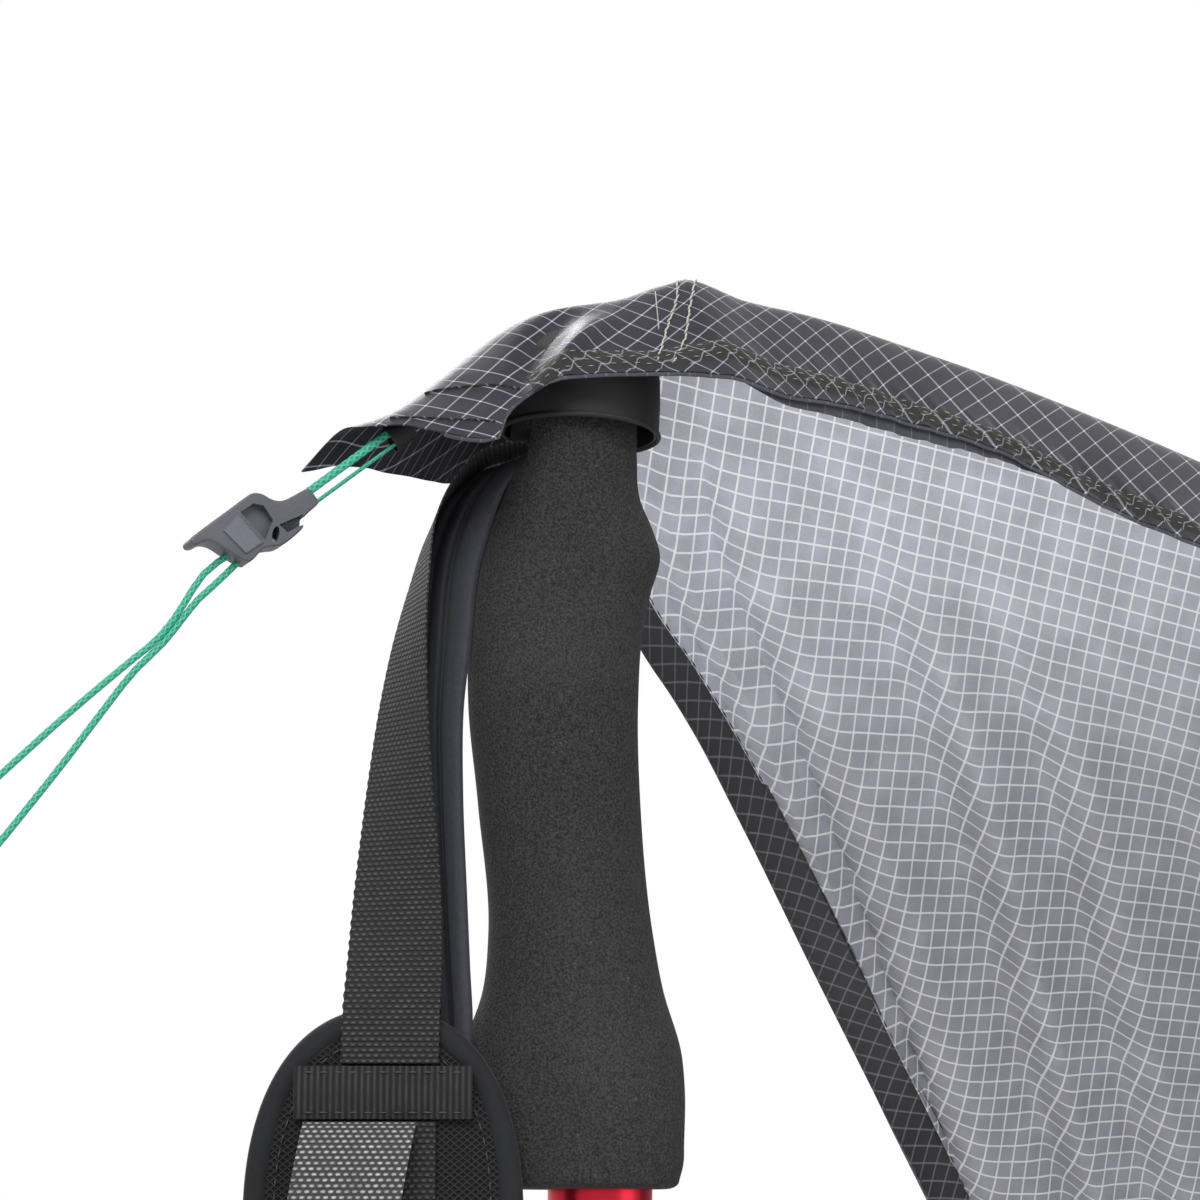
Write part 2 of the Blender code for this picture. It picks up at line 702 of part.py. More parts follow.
def make_grip(mats):
    """Foam grip with a domed head, the strap's slot and the bore for the shaft."""
    rings = []
    for lift in (78, 60, 40, 20):
        angle = math.radians(lift)
        rings.append(grip_ring(HEAD_SHIFT, HEAD_RADIUS * math.cos(angle),
                               HEAD_DEPTH * math.cos(angle),
                               HEAD_HEIGHT + HEAD_DEPTH * math.sin(angle)))
    for depth, shift, wide, deep in GRIP_SHARES:
        rings.append(grip_ring(HEAD_RADIUS * shift, HEAD_RADIUS * wide, GRIP_DEPTH * deep,
                               HEAD_HEIGHT - GRIP_LENGTH * depth))
    grip = loft("grip", rings)
    turn = Matrix.Rotation(HANDLE_YAW, 3, "Z")
    edge = HEAD_SHIFT + HEAD_RADIUS
    centre = handle_point(edge - SLOT_DEPTH / 2 + OVERRUN, 0, HEAD_HEIGHT - SLOT_BELOW_HEAD)
    boolean(grip, box("grip_slot_cut", (SLOT_DEPTH + 2 * OVERRUN, SLOT_WIDTH, SLOT_HEIGHT),
                      centre, turn))
    bore = cylinder("grip_bore_cut", UPPER_RADIUS + GAP, GRIP_BORE_DEPTH + OVERRUN,
                    (0, 0, GRIP_FOOT + (GRIP_BORE_DEPTH - OVERRUN) / 2), segments=32)
    boolean(grip, bore)
    keep(grip, mats["foam"])
    pin_centre = handle_point(pin_palm(), 0, HEAD_HEIGHT - SLOT_BELOW_HEAD)
    pin = cylinder("strap_pin", PIN_RADIUS, SLOT_WIDTH - 2 * GAP, (0, 0, 0),
                   turn @ Matrix.Rotation(math.pi / 2, 3, "X"))
    pin.location = pin_centre
    keep(pin, mats["steel"])


def pin_palm():
    """Place of the strap's pin across the slot, measured to the palm side."""
    return HEAD_SHIFT + HEAD_RADIUS - SLOT_DEPTH + PIN_FROM_SLOT_FLOOR


def pivot_empty():
    """Empty on the strap's hinge axis, which carries the strap's pieces."""
    empty = bpy.data.objects.new("strap_pivot", None)
    named_collection("trekking_pole_tent").objects.link(empty)
    empty.location = handle_point(pin_palm(), 0, HEAD_HEIGHT - SLOT_BELOW_HEAD)
    return empty


def hang(obj, parent):
    """Parent a part and keep its place in the world."""
    bpy.context.view_layer.update()
    obj.parent = parent
    obj.matrix_parent_inverse = parent.matrix_world.inverted()


def strand_route(shares, start_drop):
    """Route of a strand of the strap: level out of the slot, then down to the pad."""
    mouth = HEAD_SHIFT + HEAD_RADIUS
    face = PAD_FORWARD + PAD_HALF_DEPTH + GAP + WEB_CLOTH / 2
    route = [(pin_palm() + PIN_RADIUS + GAP, 0, start_drop, 0), (mouth, 0, start_drop, 0)]
    for out, door, fall, twist in shares:
        route.append((mouth + (PAD_SHIFT - mouth) * out, face * door, WEB_FALL * fall, twist))
    return route


def strand(name, route, width, cloth, count):
    """Flat webbing along a route in the handle's frame, twisted as the route says."""
    grid = []
    for palm, door, drop, twist in smooth_route(route, count):
        angle = -twist * math.pi / 2
        row = []
        for t in (-0.5, 0, 0.5):
            row.append(handle_point(palm - width * t * math.sin(angle),
                                    door - width * t * math.cos(angle),
                                    HEAD_HEIGHT - drop))
        grid.append(row)
    return sheet(name, grid, cloth, (0, -1, 0), offset=0.0)


def pad_ring(scale, forward):
    """Oval ring of the wrist pad, parallel to its face."""
    ring = []
    sides = 36
    for k in range(sides):
        angle = TURN * k / sides
        wide = math.copysign(abs(math.cos(angle)) ** 0.88, math.cos(angle))
        high = math.copysign(abs(math.sin(angle)) ** 0.88, math.sin(angle))
        inset = PAD_BINDING * 2 + GAP
        ring.append(handle_point(PAD_SHIFT + (PAD_HALF_WIDTH - inset) * scale * wide,
                                 PAD_FORWARD + forward,
                                 HEAD_HEIGHT - PAD_BELOW_HEAD
                                 + (PAD_HALF_HEIGHT - inset) * scale * high))
    return ring


def make_wrist_strap(mats):
    """Wrist strap that hangs from the pin: webbing, lining and the padded wide part."""
    pivot = pivot_empty()
    web_route = strand_route(WEB_SHARES, SLOT_BELOW_HEAD - WEB_RISE)
    web = strand("strap_webbing", web_route, WEB_WIDTH, WEB_CLOTH, 28)
    hang(keep(web, mats["webbing"]), pivot)
    lining_route = strand_route(LINING_SHARES, SLOT_BELOW_HEAD + LINING_DROP)
    lining = strand("strap_lining", lining_route, LINING_WIDTH, LINING_CLOTH, 26)
    hang(keep(lining, mats["lining"]), pivot)
    profile = [(-1.0, 0.62), (-0.86, 0.86), (-0.45, 0.97), (0.0, 1.0),
               (0.45, 0.97), (0.86, 0.86), (1.0, 0.62)]
    rings = [pad_ring(scale, depth * PAD_HALF_DEPTH) for depth, scale in profile]
    hang(keep(loft("wrist_pad", rings), mats["mesh"]), pivot)
    scale = (PAD_HALF_WIDTH - PAD_BINDING) / (PAD_HALF_WIDTH - 2 * PAD_BINDING - GAP)
    tall = (PAD_HALF_HEIGHT - PAD_BINDING) / (PAD_HALF_HEIGHT - 2 * PAD_BINDING - GAP)
    centre = handle_point(PAD_SHIFT, PAD_FORWARD, HEAD_HEIGHT - PAD_BELOW_HEAD)
    edge = []
    for point in pad_ring(1, 0):
        step = point - centre
        edge.append(centre + Vector((step.x * scale, step.y * scale, step.z * tall)))
    binding = wire("pad_binding", edge, PAD_BINDING, 1, cyclic=True)
    hang(keep(binding, mats["lining"]), pivot)
    face = PAD_FORWARD + PAD_HALF_DEPTH + GAP
    high = HEAD_HEIGHT - WEB_FALL - SEAM
    grid = []
    for t in np.linspace(-0.5, 0.5, 5):
        grid.append([handle_point(PAD_SHIFT + RIBBON_LENGTH * t, face, high),
                     handle_point(PAD_SHIFT + RIBBON_LENGTH * t, face, high - RIBBON_WIDTH)])
    ribbon = sheet("pad_ribbon", grid, RIBBON_CLOTH, (0, 1, 0))
    hang(keep(ribbon, mats["webbing"]), pivot)
    top = high - RIBBON_WIDTH - SEAM
    grid = []
    for t in np.linspace(0, 1, 12):
        rise = PAD_LOOP_RISE * math.sin(math.pi * t) ** 0.8
        grid.append([handle_point(PAD_SHIFT + PAD_LOOP_WIDTH * s, face + rise,
                                  top - PAD_LOOP_LENGTH * t) for s in (-0.5, 0, 0.5)])
    loop = sheet("pad_loop", grid, RIBBON_CLOTH, (0, 1, 0))
    hang(keep(loop, mats["grey_webbing"]), pivot)


def make_tubes(mats):
    """Three telescoping tubes, the collar under the grip and the pole's lower end."""
    top = GRIP_FOOT + GRIP_BORE_DEPTH - GAP
    keep(tube("upper_shaft", UPPER_RADIUS, UPPER_RADIUS - TUBE_WALL, UPPER_END, top), mats["red"])
    collar_top = GRIP_FOOT - GAP
    low = collar_top - COLLAR_HEIGHT
    soft = COLLAR_HEIGHT / 8
    bore = UPPER_RADIUS + GAP
    keep(turned("grip_collar", [
        (bore, collar_top), (COLLAR_RADIUS, collar_top), (COLLAR_RADIUS, low + soft),
        (COLLAR_RADIUS - soft / 2, low), (bore, low)]), mats["red"])
    mid = tube("mid_shaft", MID_RADIUS, MID_RADIUS - TUBE_WALL, LOWER_END,
               UPPER_END + MID_INSERT)
    keep(mid, mats["aluminium"])
    ferrule_top = TIP_HEIGHT + FERRULE_HEIGHT
    low_shaft = tube("low_shaft", LOW_RADIUS, LOW_RADIUS - TUBE_WALL, ferrule_top + GAP,
                     LOWER_END + LOW_INSERT)
    keep(low_shaft, mats["aluminium"])
    neck = FERRULE_RADIUS * 0.62
    shoulder = TIP_HEIGHT + FERRULE_HEIGHT * 0.5
    ferrule = turned("tip_ferrule", [
        (0, ferrule_top), (FERRULE_RADIUS, ferrule_top), (FERRULE_RADIUS * 0.96, shoulder),
        (neck, TIP_HEIGHT + FERRULE_HEIGHT * 0.1), (neck * 0.9, TIP_HEIGHT), (0, TIP_HEIGHT)], 28)
    keep(ferrule, mats["plastic"])
    point = TIP_HEIGHT - GAP
    tip = turned("carbide_tip", [
        (0, point), (neck * 0.8, point), (neck * 0.8, point * 0.5),
        (TIP_RADIUS * 1.25, point * 0.3), (TIP_RADIUS, 0), (0, 0)], 28)
    keep(tip, mats["steel"])
    basket_low = shoulder
    seat = FERRULE_RADIUS + GAP
    basket = turned("basket", [
        (seat, basket_low + BASKET_HEIGHT * 2.2), (seat * 1.35, basket_low + BASKET_HEIGHT * 2.2),
        (seat * 1.5, basket_low + BASKET_HEIGHT), (BASKET_RADIUS, basket_low + BASKET_HEIGHT * 0.4),
        (BASKET_RADIUS, basket_low), (seat, basket_low)], 30)
    middle = (seat * 1.5 + BASKET_RADIUS) / 2
    hole = (BASKET_RADIUS - seat * 1.5) * 0.3
    for k in range(BASKET_HOLES):
        angle = TURN * k / BASKET_HOLES
        spot = (middle * math.cos(angle), middle * math.sin(angle), basket_low)
        boolean(basket, cylinder(f"basket_cut_{k + 1}", hole, BASKET_HEIGHT * 6, spot, None, 8))
    keep(basket, mats["plastic"])


def ear_place(outer):
    """Distance of a lever's hinge from the pole's axis."""
    return outer + CLAMP_WALL + EAR_REACH - EYE_RADIUS / 2


def make_clamp(prefix, outer, inner, end, mats):
    """Clamp on a tube's lower end with two ears, and the lever that closes it."""
    low = end - CLAMP_HEIGHT / 2
    high = end + CLAMP_HEIGHT / 2
    shell = outer + CLAMP_WALL
    soft = CLAMP_WALL / 3
    clamp = turned(f"{prefix}_clamp", [
        (shell - soft, high), (shell, high - soft), (shell, low + soft), (shell - soft, low),
        (inner + GAP, low), (inner + GAP, end - GAP), (outer + GAP, end - GAP),
        (outer + GAP, high)])
    reach = ear_place(outer)
    ear = cylinder(f"{prefix}_ear", EYE_RADIUS, EAR_HEIGHT, (reach, 0, end))
    boolean(clamp, ear, "UNION")
    web = box(f"{prefix}_ear_web", (reach - outer - CLAMP_WALL / 2, EYE_RADIUS * 1.9, EAR_HEIGHT),
              ((reach + outer + CLAMP_WALL / 2) / 2, 0, end))
    boolean(clamp, web, "UNION")
    slot_start = math.sqrt(shell ** 2 - EYE_RADIUS ** 2)
    boolean(clamp, box(f"{prefix}_ear_slot", (EYE_RADIUS * 6, EYE_RADIUS * 6, EAR_SLOT),
                       (slot_start + EYE_RADIUS * 3, 0, end)))
    keep(clamp, mats["plastic"])
    pin = cylinder(f"{prefix}_lever_pin", HINGE_RADIUS, EAR_SLOT - 2 * GAP, (0, 0, 0))
    pin.location = (reach, 0, end)
    keep(pin, mats["steel"])
    inner_face = shell + GAP * 2
    outer_face = inner_face + LEVER_WALL
    points = []
    steps = 14
    first = math.asin(EYE_RADIUS * 1.2 / reach)
    for k in range(steps + 1):
        angle = first + (LEVER_SWEEP - first) * k / steps
        points.append((outer_face * math.cos(angle), outer_face * math.sin(angle)))
    for k in range(steps, -1, -1):
        angle = first + (LEVER_SWEEP - first) * k / steps
        points.append((inner_face * math.cos(angle), inner_face * math.sin(angle)))
    arm = outline_solid(f"{prefix}_lever", points, LEVER_HEIGHT / 2)
    arm.location = (0, 0, end)
    eye = cylinder(f"{prefix}_eye", EYE_RADIUS, LEVER_HEIGHT, (reach, 0, end))
    boolean(arm, eye, "UNION")
    bridge = box(f"{prefix}_bridge", (reach - inner_face, EYE_RADIUS * 1.5, LEVER_HEIGHT),
                 ((reach + inner_face) / 2, EYE_RADIUS * 0.95, end))
    boolean(arm, bridge, "UNION")
    boolean(arm, cylinder(f"{prefix}_lever_bore", HINGE_RADIUS + GAP, LEVER_HEIGHT + 2 * OVERRUN,
                          (reach, 0, end)))
    keep(arm, mats["lever"])
    return arm


def make_strut(mats):
    """Short two-piece strut under the rear end of the ridge."""
    x = RIDGE_REAR_X - REAR_POCKET_INSET
    room = []
    for lift in np.linspace(0, math.pi / 2, 7):
        side = STRUT_CAP_RADIUS * math.sin(lift)
        fall = STRUT_CAP_RADIUS * (1 - math.cos(lift))
        for place_x, place_y in ((x + side, 0), (x - side, 0), (x, side)):
            room.append(roof_height(place_x, place_y) + fall)
    cap_top = min(room) - (POCKET_CLOTH + 2 * GAP) * pitch_stretch(x)
    cap_low = cap_top - STRUT_CAP_HEIGHT
    dome = [(0, cap_top)]
    for k in range(1, 5):
        angle = math.pi / 2 * k / 4
        dome.append((STRUT_CAP_RADIUS * math.sin(angle),
                     cap_top - STRUT_CAP_RADIUS * (1 - math.cos(angle))))
    dome += [(STRUT_CAP_RADIUS, cap_low), (0, cap_low)]
    keep(turned("strut_cap", dome, 24, (x, 0, 0)), mats["plastic"])
    upper = tube("strut_upper", STRUT_RADIUS, STRUT_LOW_RADIUS + GAP, STRUT_JOINT_HEIGHT,
                 cap_low - GAP, 24)
    upper.location = (x, 0, 0)
    keep(upper, mats["aluminium"])
    lower = turned("strut_lower", [
        (0, STRUT_JOINT_HEIGHT + STRUT_INSERT), (STRUT_LOW_RADIUS, STRUT_JOINT_HEIGHT + STRUT_INSERT),
        (STRUT_LOW_RADIUS, STRUT_FOOT_HEIGHT + GAP), (0, STRUT_FOOT_HEIGHT + GAP)], 24, (x, 0, 0))
    keep(lower, mats["aluminium"])
    foot = turned("strut_foot", [
        (0, STRUT_FOOT_HEIGHT), (STRUT_FOOT_RADIUS * 0.7, STRUT_FOOT_HEIGHT),
        (STRUT_FOOT_RADIUS, STRUT_FOOT_HEIGHT * 0.4), (STRUT_FOOT_RADIUS, 0), (0, 0)], 24, (x, 0, 0))
    keep(foot, mats["rubber"])


def roll_path(share):
    """Centre of the rolled door over the near wall, and its radius."""
    x = ROLL_START_X + (ROLL_END_X - ROLL_START_X) * share
    radius = ROLL_RADIUS_TOP + (ROLL_RADIUS_FOOT - ROLL_RADIUS_TOP) * share
    y = -(door_edge(x) - ROLL_BACK)
    surface = Vector(canopy_point(x, y))
    step = RIDGE_LAP / 4
    along = Vector(canopy_point(x + step, y)) - surface
    across = Vector(canopy_point(x, y - step)) - surface
    normal = along.cross(across).normalized()
    if normal.z < 0:
        normal = -normal
    lift = radius * ROLL_TIED_SHARE + TIE_CLOTH + 3 * GAP
    return surface + normal * lift, radius, normal


def roll_ring(share, scale, extra, sides):
    """Ring of the rolled door, square to its path."""
    centre, radius, normal = roll_path(share)
    step_share = 0.01
    ahead = roll_path(min(share + step_share, 1))[0]
    behind = roll_path(max(share - step_share, 0))[0]
    along = (ahead - behind).normalized()
    side = along.cross(normal).normalized()
    up = side.cross(along)
    ring = []
    for k in range(sides):
        angle = TURN * k / sides
        reach = radius * scale + extra
        ring.append(centre + side * reach * math.cos(angle) + up * reach * math.sin(angle))
    return ring, centre, side, up, along


def make_door_roll(mats):
    """Door panel rolled up along the door edge, with two ties and toggles."""
    ties = (0.22, 0.70)
    sides = 14
    half = TIE_WIDTH / 2 / (ROLL_END_X - ROLL_START_X) * 0.7
    shares = set(np.linspace(0, 1, 21))
    for tie in ties:
        shares.update((tie - half, tie, tie + half))
    rings = []
    for share in sorted(shares):
        fullness = ROLL_FULL_SHARE
        for tie in ties:
            away = max(abs(share - tie) - half, 0)
            fullness -= (ROLL_FULL_SHARE - ROLL_TIED_SHARE) * math.exp(-(away / 0.06) ** 2)
        rings.append(roll_ring(share, fullness, 0, sides)[0])
    first = roll_ring(0, 0.5, 0, sides)[0]
    last = roll_ring(1, 0.5, 0, sides)[0]
    lean = roll_ring(0, 1, 0, sides)[4] * ROLL_RADIUS_TOP * 0.5
    trail = roll_ring(1, 1, 0, sides)[4] * ROLL_RADIUS_FOOT * 0.5
    rings.insert(0, [point - lean for point in first])
    rings.append([point + trail for point in last])
    keep(loft("door_roll", rings), mats["door"])
    for label, tie in zip(("upper", "lower"), ties):
        bands = []
        for share in (tie - half, tie, tie + half):
            bands.append(roll_ring(share, ROLL_TIED_SHARE, GAP, sides)[0])
        band = loft(f"door_tie_{label}", bands, False, False)
        solidify(band, TIE_CLOTH, 1.0)
        keep(band, mats["hem"])
        _, centre, side, up, along = roll_ring(tie, 1, 0, 6)
        radius = roll_path(tie)[1]
        flat = (radius * ROLL_TIED_SHARE + GAP) * math.cos(math.pi / sides)
        reach = flat + TIE_CLOTH + GAP + TOGGLE_RADIUS
        spot = centre + up * reach
        turn = Matrix((up, side, along)).transposed() @ Matrix.Rotation(math.pi / 2, 3, "X")
        toggle = cylinder(f"door_toggle_{label}", TOGGLE_RADIUS, TOGGLE_LENGTH, (0, 0, 0), turn, 16)
        toggle.location = spot
        keep(toggle, mats["plastic"])


def guy_places():
    """Points of the guyline's middle: under the beak, in its lock and at its stake."""
    fall = ridge_height(GUY_TOP_X + CORD_RADIUS) - ridge_height(GUY_TOP_X - CORD_RADIUS)
    loop = (CORD_RADIUS + GUY_LOOP_WALL + GAP) * math.hypot(1, fall / CORD_RADIUS / 2)
    top_z = roof_height(GUY_TOP_X, 0) - loop - STRAND_SPACING / 2
    foot_z = STAKE_RADIUS + 2 * (CORD_RADIUS + GAP)
    return (Vector((GUY_TOP_X, 0, top_z)),
            Vector((GUY_LOCK_X, 0, PEAK_HEIGHT - GUY_LOCK_DROP)),
            Vector((GUY_LOCK_X - GUY_RUN, 0, foot_z)))


def above(direction):
    """Direction square to a line in the tent's middle plane, on its upper side."""
    return Vector((direction.z, 0, -direction.x))


def stake_height():
    """Height of a stake's axis when it lies through its loop on the ground."""
    return STAKE_RADIUS + LOOP_CLOTH + 2 * GAP


def make_guyline(mats):
    """Cord from under the beak, through its lock, round the stake and back."""
    top, lock, foot = guy_places()
    half = STRAND_SPACING / 2
    first = (lock - top).normalized()
    second = (foot - lock).normalized()
    length = (foot - lock).length
    turn_radius = STAKE_RADIUS + CORD_RADIUS + GAP
    straight = LOCK_LENGTH * 2
    rest = np.linspace(straight, length, 13)

    def strand_points(sign, slack):
        """Points of the upper or the lower strand, from the beak to the stake."""
        points = [top + above(first) * half * sign + first * share
                  for share in np.linspace(0, (lock - top).length * 0.8, 4)]
        points += [lock + above(second) * half * sign + second * share
                   for share in np.linspace(LOCK_LENGTH * 0.2, straight, 4)]
        for share in rest[1:-1]:
            place = (share - straight) / (length - straight)
            spread = half + (turn_radius - half) * place + slack * 4 * place * (1 - place)
            points.append(lock + above(second) * sign * spread + second * share)
        return points

    points = strand_points(1, 0)
    for k in range(9):
        angle = math.pi * k / 8
        points.append(foot + above(second) * turn_radius * math.cos(angle)
                      + second * turn_radius * math.sin(angle))
    points += strand_points(-1, GUY_SLACK)[::-1]
    cord = wire("front_guyline", points, CORD_RADIUS)
    keep(cord, mats["cord"])
    rings = []
    reach = CORD_RADIUS + GAP
    for t in (-0.5, 0.5):
        ring = []
        for k in range(20):
            angle = TURN * k / 20
            bulge = math.copysign(half, math.sin(angle)) if k % 10 else 0
            ring.append(top + first * (GUY_LOOP_WIDTH * (t + 0.3))
                        + Vector((0, reach * math.cos(angle), 0))
                        + above(first) * (bulge + reach * math.sin(angle)))
        rings.append(ring)
    loop = loft("front_guy_loop", rings, False, False)
    solidify(loop, GUY_LOOP_WALL, 1.0)
    keep(loop, mats["hem"])


def make_lock(mats):
    """Plastic line lock on the guyline, near the beak."""
    top, lock_at, foot = guy_places()
    forward = ((top - lock_at).normalized() + (lock_at - foot).normalized()).normalized()
    up = above(-forward)
    outline = [(along * LOCK_LENGTH, high * LOCK_HEIGHT) for along, high in LOCK_SHARES]
    lock = outline_solid("front_line_lock", outline, LOCK_WIDTH / 2, LOCK_EDGE)
    turn = Matrix((forward, up, forward.cross(up))).transposed().to_4x4()
    lock.matrix_world = Matrix.Translation(lock_at + up * LOCK_RISE) @ turn
    tall = STRAND_SPACING + 2 * (CORD_RADIUS + LOCK_PLAY)
    wide = 2 * CORD_RADIUS + 3 * GAP
    cut = box("lock_channel_cut", (LOCK_LENGTH * 2, tall, wide), (0, 0, 0))
    cut.matrix_world = Matrix.Translation(lock_at) @ turn
    boolean(lock, cut)
    keep(lock, mats["plastic"])


def loop_and_stake(name, root, outward, mats):
    """Webbing loop at a ground corner and the stake that lies through it."""
    out = Vector((*outward, 0)).normalized()
    side = Vector((-out.y, out.x, 0))
    height = stake_height()
    bend = STAKE_RADIUS + GAP + LOOP_CLOTH / 2
    stake_at = Vector((*root, height)) + out * (LOOP_LENGTH - bend)
    path = [Vector((*root, height - bend)) + out * (GAP * 2)]
    path += [path[0] + out * (LOOP_LENGTH - bend) * t for t in (0.33, 0.66)]
    for k in range(11):
        angle = -math.pi / 2 + math.pi * k / 10
        path.append(stake_at + out * bend * math.cos(angle)
                    + Vector((0, 0, bend * math.sin(angle))))
    low = height - bend + LOOP_CLOTH + GAP
    path.append(stake_at - out * bend + Vector((0, 0, bend)))
    path.append(stake_at - out * LOOP_LENGTH * 0.5 + Vector((0, 0, low - height)))
    path.append(Vector((*root, low)) + out * LOOP_LENGTH * 0.2)
    grid = [[point + side * LOOP_WIDTH * t for t in (-0.5, 0.5)] for point in path]
    loop = sheet(f"{name}_loop", grid, LOOP_CLOTH, (0, 0, -1), offset=0.0)
    keep(loop, mats["hem"])
    make_stake(f"{name}_stake", stake_at, side, -out, mats)


def make_stake(name, through, along, hook_side, mats):
    """Shepherd's hook stake of bent wire, lying level through a point."""
    start = through - along * (HOOK_RADIUS * 2.3)
    tip = start + along * STAKE_LENGTH
    centre = start + hook_side * HOOK_RADIUS
    points = [tip, start + along * STAKE_LENGTH * 0.5]
    for k in range(15):
        angle = math.radians(250) * k / 14
        points.append(centre - hook_side * HOOK_RADIUS * math.cos(angle)
                      - along * HOOK_RADIUS * math.sin(angle))
    stake = wire(name, points, STAKE_RADIUS, 2)
    keep(stake, mats["stake"])


def make_ground_gear(mats):
    """Corner loops with their stakes, and the stake that holds the guyline."""
    loop_and_stake("far_front", (FRONT_CORNER_X, FRONT_CORNER_Y), (-0.5, 1), mats)
    lean = (FRONT_CORNER_Y - REAR_CORNER_Y) / (REAR_CORNER_X - FRONT_CORNER_X)
    door_x = DOOR_FOOT_X + LOOP_WIDTH
    loop_and_stake("near_door", (door_x, -base_width(door_x)), (lean, -1), mats)
    rear_x = REAR_CORNER_X - LOOP_WIDTH
    loop_and_stake("far_rear", (rear_x, base_width(rear_x)), (lean, 1), mats)
    loop_and_stake("near_rear", (rear_x, -base_width(rear_x)), (lean, -1), mats)
    foot = guy_places()[2]
    make_stake("guyline_stake", foot, Vector((0, 1, 0)), Vector((-1, 0, 0)), mats)


def make_materials():
    """Plain materials with the photographed colours."""
    return {
        "hood": material("hood_cloth", (0.055, 0.057, 0.065), 0.32),
        "wall": material("wall_cloth", (0.30, 0.30, 0.35), 0.55),
        "door": material("door_cloth", (0.26, 0.26, 0.31), 0.55),
        "hem": material("hem_cloth", (0.035, 0.036, 0.042), 0.6),
        "pocket": material("pocket_band", (0.015, 0.015, 0.017), 0.5),
        "foam": material("grip_foam", (0.030, 0.030, 0.028), 0.85),
        "webbing": material("strap_webbing", (0.022, 0.022, 0.024), 0.8),
        "grey_webbing": material("loop_webbing", (0.09, 0.09, 0.10), 0.8),
        "lining": material("strap_lining", (0.015, 0.016, 0.020), 0.7),
        "mesh": material("pad_mesh", (0.018, 0.018, 0.019), 0.85),
        "red": material("red_anodised", (0.55, 0.02, 0.04), 0.3, 0.9),
        "aluminium": material("grey_anodised", (0.35, 0.35, 0.37), 0.35, 0.9),
        "steel": material("steel", (0.45, 0.45, 0.46), 0.35, 1.0),
        "plastic": material("dark_plastic", (0.055, 0.06, 0.07), 0.5),
        "lever": material("lever_plastic", (0.10, 0.10, 0.11), 0.4),
        "rubber": material("rubber", (0.02, 0.02, 0.02), 0.85),
        "cord": material("green_cord", (0.03, 0.45, 0.28), 0.6),
        "stake": material("stake_metal", (0.50, 0.50, 0.52), 0.35, 1.0),
    }


def main():
    """Clear the scene and build every piece."""
    for obj in list(bpy.data.objects):
        bpy.data.objects.remove(obj)
    mats = make_materials()
    make_hood(mats)
    make_ridge_seam(mats)
    make_far_wall(mats)
    make_near_wall(mats)
    make_rear_wall(mats)
    pocket = handle_point(POCKET_SHIFT, 0, 0)
    make_pocket("pole_pocket", pocket.x, pocket.y, POCKET_RADIUS,
                PEAK_HEIGHT - POCKET_LOW, mats)
    make_pocket("rear_pocket", RIDGE_REAR_X - REAR_POCKET_INSET, 0, REAR_POCKET_RADIUS,
                RIDGE_REAR_HEIGHT - REAR_POCKET_LOW, mats)
    make_grip(mats)
    make_wrist_strap(mats)
    make_tubes(mats)
    make_clamp("upper", UPPER_RADIUS, MID_RADIUS, UPPER_END, mats)
    make_clamp("lower", MID_RADIUS, LOW_RADIUS, LOWER_END, mats)
    make_strut(mats)
    make_door_roll(mats)
    make_guyline(mats)
    make_lock(mats)
    make_ground_gear(mats)


main()
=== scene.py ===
"""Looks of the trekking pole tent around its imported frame.

Lengths are in metres. The origin is the pole's point on the ground, +X runs along the
ridge to the rear, -Y is the door side and +Z is up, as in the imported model.
"""
import math

import bpy
import numpy as np
from bpy.props import FloatProperty, FloatVectorProperty, PointerProperty
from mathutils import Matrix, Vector


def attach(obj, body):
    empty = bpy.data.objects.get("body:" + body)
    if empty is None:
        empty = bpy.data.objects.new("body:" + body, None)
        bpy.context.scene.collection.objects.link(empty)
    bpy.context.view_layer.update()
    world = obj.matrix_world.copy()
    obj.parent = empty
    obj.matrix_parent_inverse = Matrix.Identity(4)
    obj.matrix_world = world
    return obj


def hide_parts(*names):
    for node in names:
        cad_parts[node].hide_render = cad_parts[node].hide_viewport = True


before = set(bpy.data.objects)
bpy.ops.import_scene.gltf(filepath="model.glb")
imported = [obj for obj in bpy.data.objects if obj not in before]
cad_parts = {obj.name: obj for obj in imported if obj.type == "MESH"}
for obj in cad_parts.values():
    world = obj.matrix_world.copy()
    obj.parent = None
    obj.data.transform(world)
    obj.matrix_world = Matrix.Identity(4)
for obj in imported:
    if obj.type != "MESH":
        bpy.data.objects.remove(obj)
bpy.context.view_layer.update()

bl_info = {
    "name": "Trekking pole tent",
    "version": (1, 0, 0),
    "blender": (4, 5, 0),
    "location": "3D View > Sidebar > Tent",
    "description": "Cloth, handle, guyline and ground gear of a trekking pole tent",
    "category": "Add Mesh",
}

TURN = 2 * math.pi
UP = np.array([0.0, 0.0, 1.0])
BLACK = (0.0, 0.0, 0.0)


# ---------------------------------------------------------------- sizes and colours

def colour(name, text, value):
    """A colour setting."""
    return FloatVectorProperty(name=name, description=text, subtype="COLOR", size=3,
                               min=0, max=1, default=value)


def length(name, text, value):
    """A length setting in metres."""
    return FloatProperty(name=name, description=text, default=value, min=0,
                         unit="LENGTH", precision=5)


